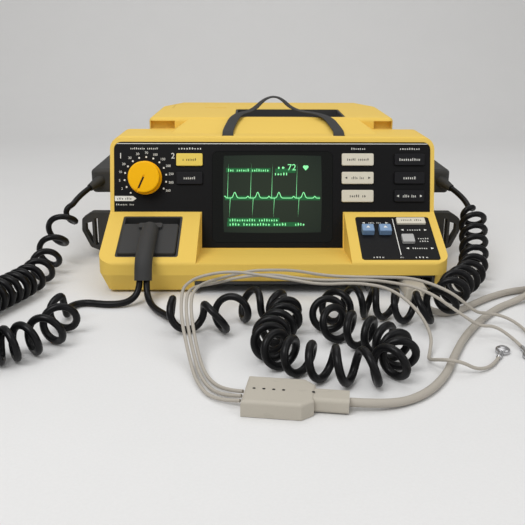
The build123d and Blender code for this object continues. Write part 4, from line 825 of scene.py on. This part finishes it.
@dataclass
class PatientCable:
    """The patient cable: a plug, a trunk with its spare length coiled, a yoke and three leads with clips."""

    trunk_thickness: float = 0.0065
    lead_thickness: float = 0.0028
    ring_centre: tuple[float, float] = (300.0, -192.0)
    ring_radii: tuple[float, ...] = (31.4, 38.0, 44.6)
    ring_heights: tuple[float, ...] = (3.7, 10.3, 16.9)
    points_per_turn: int = 14

    def ring_points(self) -> np.ndarray:
        """The spare length's turns, in millimetres.

        Layer after layer, the radius steps from one turn to the next over the last quarter of a turn. The
        first layer runs outwards to inwards and each next one comes back.
        """
        radii: list[float] = []
        heights: list[float] = []
        for layer, height in enumerate(self.ring_heights):
            order = self.ring_radii[::-1] if layer % 2 == 0 else self.ring_radii
            for radius in order:
                radii.append(radius)
                heights.append(height)
        turns = np.arange(len(radii) * self.points_per_turn) / self.points_per_turn
        whole = np.floor(turns).astype(int)
        part = np.clip((turns - whole - 0.7) / 0.3, 0.0, 1.0)
        after = np.minimum(whole + 1, len(radii) - 1)
        radius = np.array(radii)[whole] * (1 - part) + np.array(radii)[after] * part
        height = np.array(heights)[whole] * (1 - part) + np.array(heights)[after] * part
        angle = math.radians(148.0) - 2 * math.pi * turns
        x = self.ring_centre[0] + radius * np.cos(angle)
        y = self.ring_centre[1] + radius * np.sin(angle)
        return np.stack([x, y, height], -1)

    def curve_cord(self, name: str, points: np.ndarray, thickness: float) -> bpy.types.Object:
        """A cable that is a curve of one spline with a round section."""
        piece = spline_curve(name, points)
        piece.data.bevel_depth = thickness / 2
        piece.data.bevel_resolution = 3
        piece.data.use_fill_caps = True
        piece.data.materials.append(Look.CABLE.value.build())
        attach(piece, "case")
        return piece

    def clip(self, name: str, points: Points) -> bpy.types.Object:
        """A press clip on a lead's end: a stem and a round head, turned from one profile each.

        The head's radius and height run along a rounded profile, and the stem is a round tube of even width
        from just behind the lead's end into the head.
        """
        end = route(points)[-1]
        run = end - route(points)[-2]
        run[2] = 0.0
        run /= np.linalg.norm(run)
        middle = end + run * 0.012
        profile = np.array([[0.0, 0.0], [5.2, 0.0], [5.9, 0.5], [6.0, 2.0], [5.7, 3.6], [4.6, 4.4],
                            [3.4, 4.6], [3.0, 5.4], [1.6, 5.6], [0.0, 5.6]]) * MM
        angle = np.linspace(0, 2 * math.pi, 28, endpoint=False)
        ring = np.stack([np.cos(angle), np.sin(angle)], -1)
        head = np.concatenate([profile[:, None, :1] * ring[None], np.broadcast_to(
            profile[:, None, 1:], (len(profile), len(angle), 1))], -1).reshape(-1, 3)
        head = head + np.array([middle[0], middle[1], 0.0003])
        faces = grid_faces(len(profile), len(angle), True).tolist()
        stem_path = np.linspace(end - run * 0.004, end + run * 0.008, 7)
        stem, stem_faces, _ = tube_mesh(stem_path, 0.0021)
        corners = np.vstack([head, stem])
        faces += [[v + len(head) for v in face] for face in stem_faces]
        return mesh_piece(name, corners, faces, Look.STEEL, "case")

    def build(self) -> list[bpy.types.Object]:
        """Makes the trunk, the three leads and their clips.

        Returns:
            The pieces.
        """
        line = np.vstack([TRUNK_FROM_PLUG[:-1], self.ring_points(), TRUNK_FROM_YOKE[::-1][1:]]) * MM
        trunk = self.curve_cord("cable_trunk", line, self.trunk_thickness)
        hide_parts("trunk_from_plug", "trunk_coil", "trunk_from_yoke")
        line_length(spline_points(line))
        pieces = [trunk]
        for name, points in (("one", LEAD_ONE), ("two", LEAD_TWO), ("three", LEAD_THREE)):
            lead = self.curve_cord(f"patient_lead_{name}", route(points), self.lead_thickness)
            clip = self.clip(f"lead_clip_{name}", points)
            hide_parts(f"lead_{name}")
            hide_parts("lead_snaps")
            line_length(spline_points(route(points)))
            pieces += [lead, clip]
        return pieces


@dataclass
class CarryStrap:
    """The webbing strap over the handle well."""

    width: float = 0.012
    thickness: float = 0.0018

    def build(self) -> bpy.types.Object:
        """Makes the strap.

        The section is a flat oval: its half width and half thickness times the signed powers of the cosine
        and sine of an angle. It is carried along the strap's spline with its width level.

        Returns:
            The strap's object.
        """
        path = evenly(spline_points(route(STRAP_POINTS)), 0.0022)
        _, side, up = frames_along(path)
        angle = np.linspace(0, 2 * math.pi, 20, endpoint=False)
        wide = np.sign(np.cos(angle)) * np.abs(np.cos(angle)) ** 0.45 * self.width / 2
        thick = np.sign(np.sin(angle)) * np.abs(np.sin(angle)) ** 0.6 * self.thickness / 2
        corners = path[:, None] + side[:, None] * wide[None, :, None] + up[:, None] * thick[None, :, None]
        faces = grid_faces(len(path), len(angle), True).tolist()
        last = (len(path) - 1) * len(angle)
        faces.append(list(reversed(range(len(angle)))))
        faces.append([last + i for i in range(len(angle))])
        run = np.concatenate([[0.0], np.cumsum(np.linalg.norm(np.diff(path, axis=0), axis=1))])
        uv = np.stack(np.broadcast_arrays(run[:, None], wide[None]), -1).reshape(-1, 2)
        piece = mesh_piece("carry_strap", corners.reshape(-1, 3), faces, Look.WEBBING, "case",
                           uv)
        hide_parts("handle_strap")
        return piece


# ---------------------------------------------------------------- prints


@dataclass
class PanelPrints:
    """The ink on the upright panel and its keys."""

    panel_height: float = -0.52
    key_height: float = 1.86
    dial_x: float = -137.0
    dial_up: float = 36.4
    pointer_height: float = 14.06
    pointer_turn: float = 204.0

    def build(self) -> None:
        """Makes the panel's white print, the banner's, the dial's pointer and the keys' prints."""
        ink = Print(PANEL, self.panel_height)
        ink.bar(1.2, 73.4, 341.0, 0.7)
        headings = ((-153.4, -123.3, (8, 6)), (-102.0, -76.0, (9,)), (84.8, 101.0, (7,)),
                    (137.4, 160.0, (9,)))
        for left, right, words in headings:
            ink.legend((left + right) / 2, 68.2, right - left, 2.1, words)
        ink.number("1", -163.7, 60.0, 8.5)
        ink.number("2", -107.4, 60.0, 8.5)
        for i in range(14):
            angle = math.radians(225.0 + i * 255.0 / 13.0)
            x, up = math.sin(angle), math.cos(angle)
            ink.dot(self.dial_x + 22.6 * x, self.dial_up + 22.6 * up, 1.0)
            if i > 0:
                ink.number(str((2, 5, 10, 20, 30, 50, 70, 100, 150, 200, 250, 300, 360)[i - 1]),
                           self.dial_x + 28.0 * x, self.dial_up + 27.0 * up, 3.6)
        ink.outline([(-170.2, 11.6), (-150.5, 11.6), (-146.8, 14.3), (-150.5, 17.0), (-170.2, 17.0)])
        ink.legend(-159.0, 7.8, 20.0, 1.7, (7, 3))
        ink.finish("panel_ink", Look.WHITE_INK)
        cover = Print(PANEL, self.panel_height + 0.05)
        cover.legend(-160.0, 14.3, 16.0, 2.6, (4, 4))
        cover.finish("banner_ink", Look.BLACK_INK)
        pointer = Print(PANEL, self.pointer_height)
        way = math.radians(self.pointer_turn)
        pointer.stroke([(self.dial_x, self.dial_up),
                        (self.dial_x + 13.0 * math.sin(way), self.dial_up + 13.0 * math.cos(way))], 1.8)
        pointer.finish("knob_pointer", Look.BLACK_INK, "knob")
        self.key_prints()

    def key_prints(self) -> None:
        """Makes the print on each key's top, riding with the key."""
        rows: tuple[tuple[str, float, float, float, tuple[int, ...], Look, bool], ...] = (
            ("charge_key", -89.5, 56.1, 15.0, (1, 6), Look.BLACK_INK, False),
            ("sync_key", -89.5, 36.3, 13.0, (6,), Look.WHITE_INK, False),
            ("lead_key", 92.0, 56.5, 24.0, (5, 6), Look.BLACK_INK, False),
            ("size_key", 92.0, 36.7, 14.0, (4, 3), Look.BLACK_INK, True),
            ("alarm_key", 92.0, 17.2, 18.0, (5, 2), Look.BLACK_INK, False),
            ("record_key", 148.0, 56.5, 23.0, (10,), Look.WHITE_INK, False),
            ("mark_key", 148.0, 36.7, 14.0, (6,), Look.WHITE_INK, False),
            ("trend_key", 148.0, 17.2, 15.0, (4, 3), Look.WHITE_INK, True),
        )
        for key, x, up, width, words, look, arrows in rows:
            ink = Print(PANEL, self.key_height)
            ink.legend(x, up, width, 3.0, words)
            if arrows:
                ink.arrow(x - 12.6, up, 2.6, -1)
                ink.arrow(x + 12.6, up, 2.6, 1)
            ink.finish(f"{key}_ink", look, key)


@dataclass
class DeckPrints:
    """The ink on the sloped deck: the pacer pad's and the plug's."""

    pad_height: float = 0.36
    yoke_top: float = 12.26
    yoke_end: tuple[float, float] = (-27.0, -400.5)
    yoke_run: tuple[float, float] = (0.9906, -0.137)
    yoke_marks: tuple[float, ...] = (8.0, 15.0, 22.0, 29.0, 50.0)

    def build(self) -> None:
        """Makes the pad's lines, arrows and legends, and the marks on its keys, the yoke and the plug."""
        ink = Print(DECK, self.pad_height)
        ink.bar(127.9, -44.2, 0.8, 62.0)
        for x, way in ((96.0, -1), (121.0, 1)):
            ink.arrow(x, -20.5, 3.0, way)
        ink.legend(108.0, -20.5, 14.0, 2.2, (4, 3))
        ink.arrow(135.3, -33.0, 3.0, -1)
        ink.arrow(159.9, -33.0, 3.0, 1)
        ink.legend(147.6, -33.0, 15.0, 2.4, (6,))
        ink.legend(155.0, -48.0, 12.0, 2.2, (5,))
        ink.legend(155.0, -52.5, 10.0, 2.2, (4,))
        ink.arrow(136.1, -64.3, 3.0, -1)
        ink.arrow(161.5, -64.3, 3.0, 1)
        ink.legend(148.8, -64.3, 16.0, 2.4, (7,))
        for x, width in ((105.0, 12.0), (128.0, 4.0), (148.0, 14.0)):
            ink.legend(x, -79.0, width, 2.0, (4,))
        ink.finish("pad_ink", Look.WHITE_INK)
        cap = Print(DECK, 2.5 + 0.06)
        cap.legend(146.7, -18.2, 22.0, 3.0, (6, 4))
        cap.finish("pacer_key_ink", Look.BLACK_INK, "pacer_key")
        for name, x in (("rate_key", 99.0), ("output_key", 117.0)):
            mark = Print(DECK, 6.06)
            mark.outline([(x - 2.2, -36.5), (x + 2.2, -36.5), (x, -33.0)])
            mark.finish(f"{name}_ink", Look.WHITE_INK, name)
        yoke = Print(Face(math.pi / 2), self.yoke_top - EDGE_Z)
        for along in self.yoke_marks:
            x = self.yoke_end[0] + self.yoke_run[0] * along
            y = self.yoke_end[1] + self.yoke_run[1] * along
            yoke.dot(x, y - EDGE_Y, 1.2)
        yoke.finish("yoke_ink", Look.BLACK_INK)
        plug = Print(DECK, 3.06)
        plug.legend(-127.5, -41.5, 7.0, 3.4, (2,))
        plug.finish("plug_ink", Look.WHITE_INK)


@dataclass
class TubePicture:
    """The picture: a raster that glows, heart traces, counts and rows of plain strokes."""

    half_width: float = 53.4
    low: float = -22.7
    high: float = 61.2
    height: float = -0.74
    baseline: float = 15.0
    bow: float = 0.018
    beats: tuple[float, ...] = (-47.2, -22.4, 0.5, 27.2)

    def raster(self) -> bpy.types.Object:
        """The glowing area, a rounded rectangle of a grid.

        A grid point's place is its share of the width and height, pulled towards the middle most at the
        corners, by the bow's share, as a tube's raster is.
        """
        rows, columns = 24, 30
        v, u = np.meshgrid(np.linspace(0, 1, rows), np.linspace(0, 1, columns), indexing="ij")
        bow = 1.0 - self.bow * ((2 * u - 1) ** 2) * ((2 * v - 1) ** 2)
        middle = (self.low + self.high) / 2
        x = (2 * u - 1) * self.half_width * bow
        up = middle + (2 * v - 1) * (self.high - self.low) / 2 * bow
        corners = PANEL.place(x.ravel(), up.ravel(), self.height)
        uv = np.stack([u.ravel(), v.ravel()], -1)
        return mesh_piece("tube_raster", corners, grid_faces(rows, columns), Look.RASTER, "case", uv=uv)

    def trace(self) -> np.ndarray:
        """The heart trace as a line.

        A beat is a small rounded bump and a broad one after it, each a bell curve of its own width and
        height, added to the baseline. The sharp spikes between them are drawn apart.
        """
        x = np.arange(-52.0, 52.0, 0.4)
        up = np.full_like(x, self.baseline)
        for beat in (*self.beats, 50.0):
            for offset, height, width in ((-4.2, 2.0, 1.1), (6.5, 6.2, 1.9)):
                up = up + height * np.exp(-(((x - beat - offset) / width) ** 2))
        return np.stack([x, up], -1)

    def build(self) -> None:
        """Makes the raster and everything that is written on it, with a dim glow round each row."""
        self.raster()
        glow = Print(PANEL, self.height + 0.02)
        strips = ((0.0, self.baseline, 103.0), (-26.1, 45.0, 48.0), (14.0, 44.5, 22.0), (-20.4, -8.8, 56.0),
                  (-10.0, -13.4, 78.0))
        for x, up, width in strips:
            glow.bar(x, up, width, 4.6)
        glow.finish("tube_halo", Look.HALO)
        ink = Print(PANEL, self.height + 0.05)
        line = self.trace()
        ink.stroke([tuple(p) for p in line], 0.8)
        for beat in self.beats:
            spike = [(beat - 1.4, self.baseline), (beat - 0.3, 52.6), (beat + 0.5, -5.5),
                     (beat + 1.6, self.baseline)]
            ink.stroke(spike, 0.5)
        ink.legend(-26.1, 45.0, 44.6, 3.2, (3, 6, 8))
        ink.number("72", 20.9, 47.8, 9.6)
        ink.legend(9.5, 47.9, 9.0, 3.0, (2,))
        ink.legend(9.5, 41.0, 15.0, 3.0, (5,))
        ink.dot(34.7, 48.6, 1.7)
        ink.dot(37.3, 48.6, 1.7)
        ink.outline([(33.2, 47.9), (36.0, 44.8), (38.8, 47.9)])
        ink.legend(-20.4, -8.8, 53.0, 3.0, (11, 8))
        ink.legend(-15.6, -13.4, 62.7, 3.0, (4, 10, 5))
        ink.legend(29.7, -13.4, 11.1, 3.0, (4,))
        ink.finish("tube_trace", Look.TRACE)


# ---------------------------------------------------------------- set


@dataclass
class Studio:
    """Camera, pale floor and backdrop, and soft lights."""

    place: tuple[float, float, float] = (-0.0178, -0.8705, 0.2539)
    right: tuple[float, float, float] = (0.99996, -0.00839, 0.00305)
    up: tuple[float, float, float] = (-0.00038, 0.30196, 0.95332)
    forward: tuple[float, float, float] = (0.00892, 0.95328, -0.30194)
    lens: float = 50.42

    def camera(self) -> None:
        """Sets the camera."""
        data = bpy.data.cameras.new("camera")
        data.lens = self.lens
        data.sensor_width = 36.0
        data.clip_start = 0.01
        camera = bpy.data.objects.new("camera", data)
        back = -np.array(self.forward)
        turn = Matrix((tuple(self.right), tuple(self.up), tuple(back))).transposed().to_4x4()
        camera.matrix_world = Matrix.Translation(Vector(self.place)) @ turn
        bpy.context.scene.collection.objects.link(camera)
        bpy.context.scene.camera = camera

    def floor(self) -> None:
        """Makes a floor that sweeps up into a backdrop.

        The section is level, then a quarter circle, then upright.
        """
        bend = np.linspace(0, math.pi / 2, 20)
        y = np.concatenate([[-3.0], 0.9 + 0.6 * np.sin(bend), [1.5]])
        z = np.concatenate([[0.0], 0.6 - 0.6 * np.cos(bend), [3.0]])
        x = np.linspace(-3.5, 3.5, 2)
        corners = np.stack([np.tile(x, len(y)), np.repeat(y, 2), np.repeat(z, 2) - 0.0002], -1)
        mesh = bpy.data.meshes.new("floor")
        mesh.from_pydata(corners.tolist(), [], grid_faces(len(y), 2).tolist())
        mesh.polygons.foreach_set("use_smooth", [True] * len(mesh.polygons))
        material = Finish("pale_cloth", srgb(226, 226, 226), 0.85, 500.0, 0.0001, 0.03, 0.0).build()
        mesh.materials.append(material)
        floor = bpy.data.objects.new("floor", mesh)
        bpy.context.scene.collection.objects.link(floor)

    def light(self, name: str, place: Sequence[float], size: float, power: float) -> None:
        """Adds a square soft light that faces the device."""
        data = bpy.data.lights.new(name, "AREA")
        data.size = size
        data.energy = power
        lamp = bpy.data.objects.new(name, data)
        lamp.location = place
        lamp.rotation_euler = (Vector((0, -0.1, 0.05)) - Vector(place)).to_track_quat("-Z", "Y").to_euler()
        bpy.context.scene.collection.objects.link(lamp)

    def build(self) -> None:
        """Sets the camera, the floor, the lights and the world."""
        self.camera()
        self.floor()
        self.light("key_light", (-0.7, -1.2, 1.5), 1.0, 19.0)
        self.light("fill_light", (1.1, -1.0, 0.9), 1.2, 5.0)
        self.light("top_light", (0.1, 0.3, 1.7), 1.4, 8.0)
        world = bpy.data.worlds.new("soft_room")
        world.use_nodes = True
        world.node_tree.nodes["Background"].inputs["Color"].default_value = (1.0, 0.98, 0.95, 1.0)
        world.node_tree.nodes["Background"].inputs["Strength"].default_value = 0.32
        bpy.context.scene.world = world
        bpy.context.scene.view_settings.view_transform = "Standard"


def main() -> None:
    """Builds the device's looks round the frame, in order."""
    logging.basicConfig(level=logging.INFO, format="%(message)s")
    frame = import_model()
    Studio().build()
    PaddleCord("left", LEFT_TAIL, LEFT_COIL, LEFT_PITCHES).build()
    PaddleCord("right", RIGHT_TAIL, RIGHT_COIL, RIGHT_PITCHES).build()
    PatientCable().build()
    log.info("cords built")
    dress_nodes(frame["nodes"])
    CarryStrap().build()
    PanelPrints().build()
    DeckPrints().build()
    TubePicture().build()
    log.info("prints built")


if __name__ == "__main__":
    main()
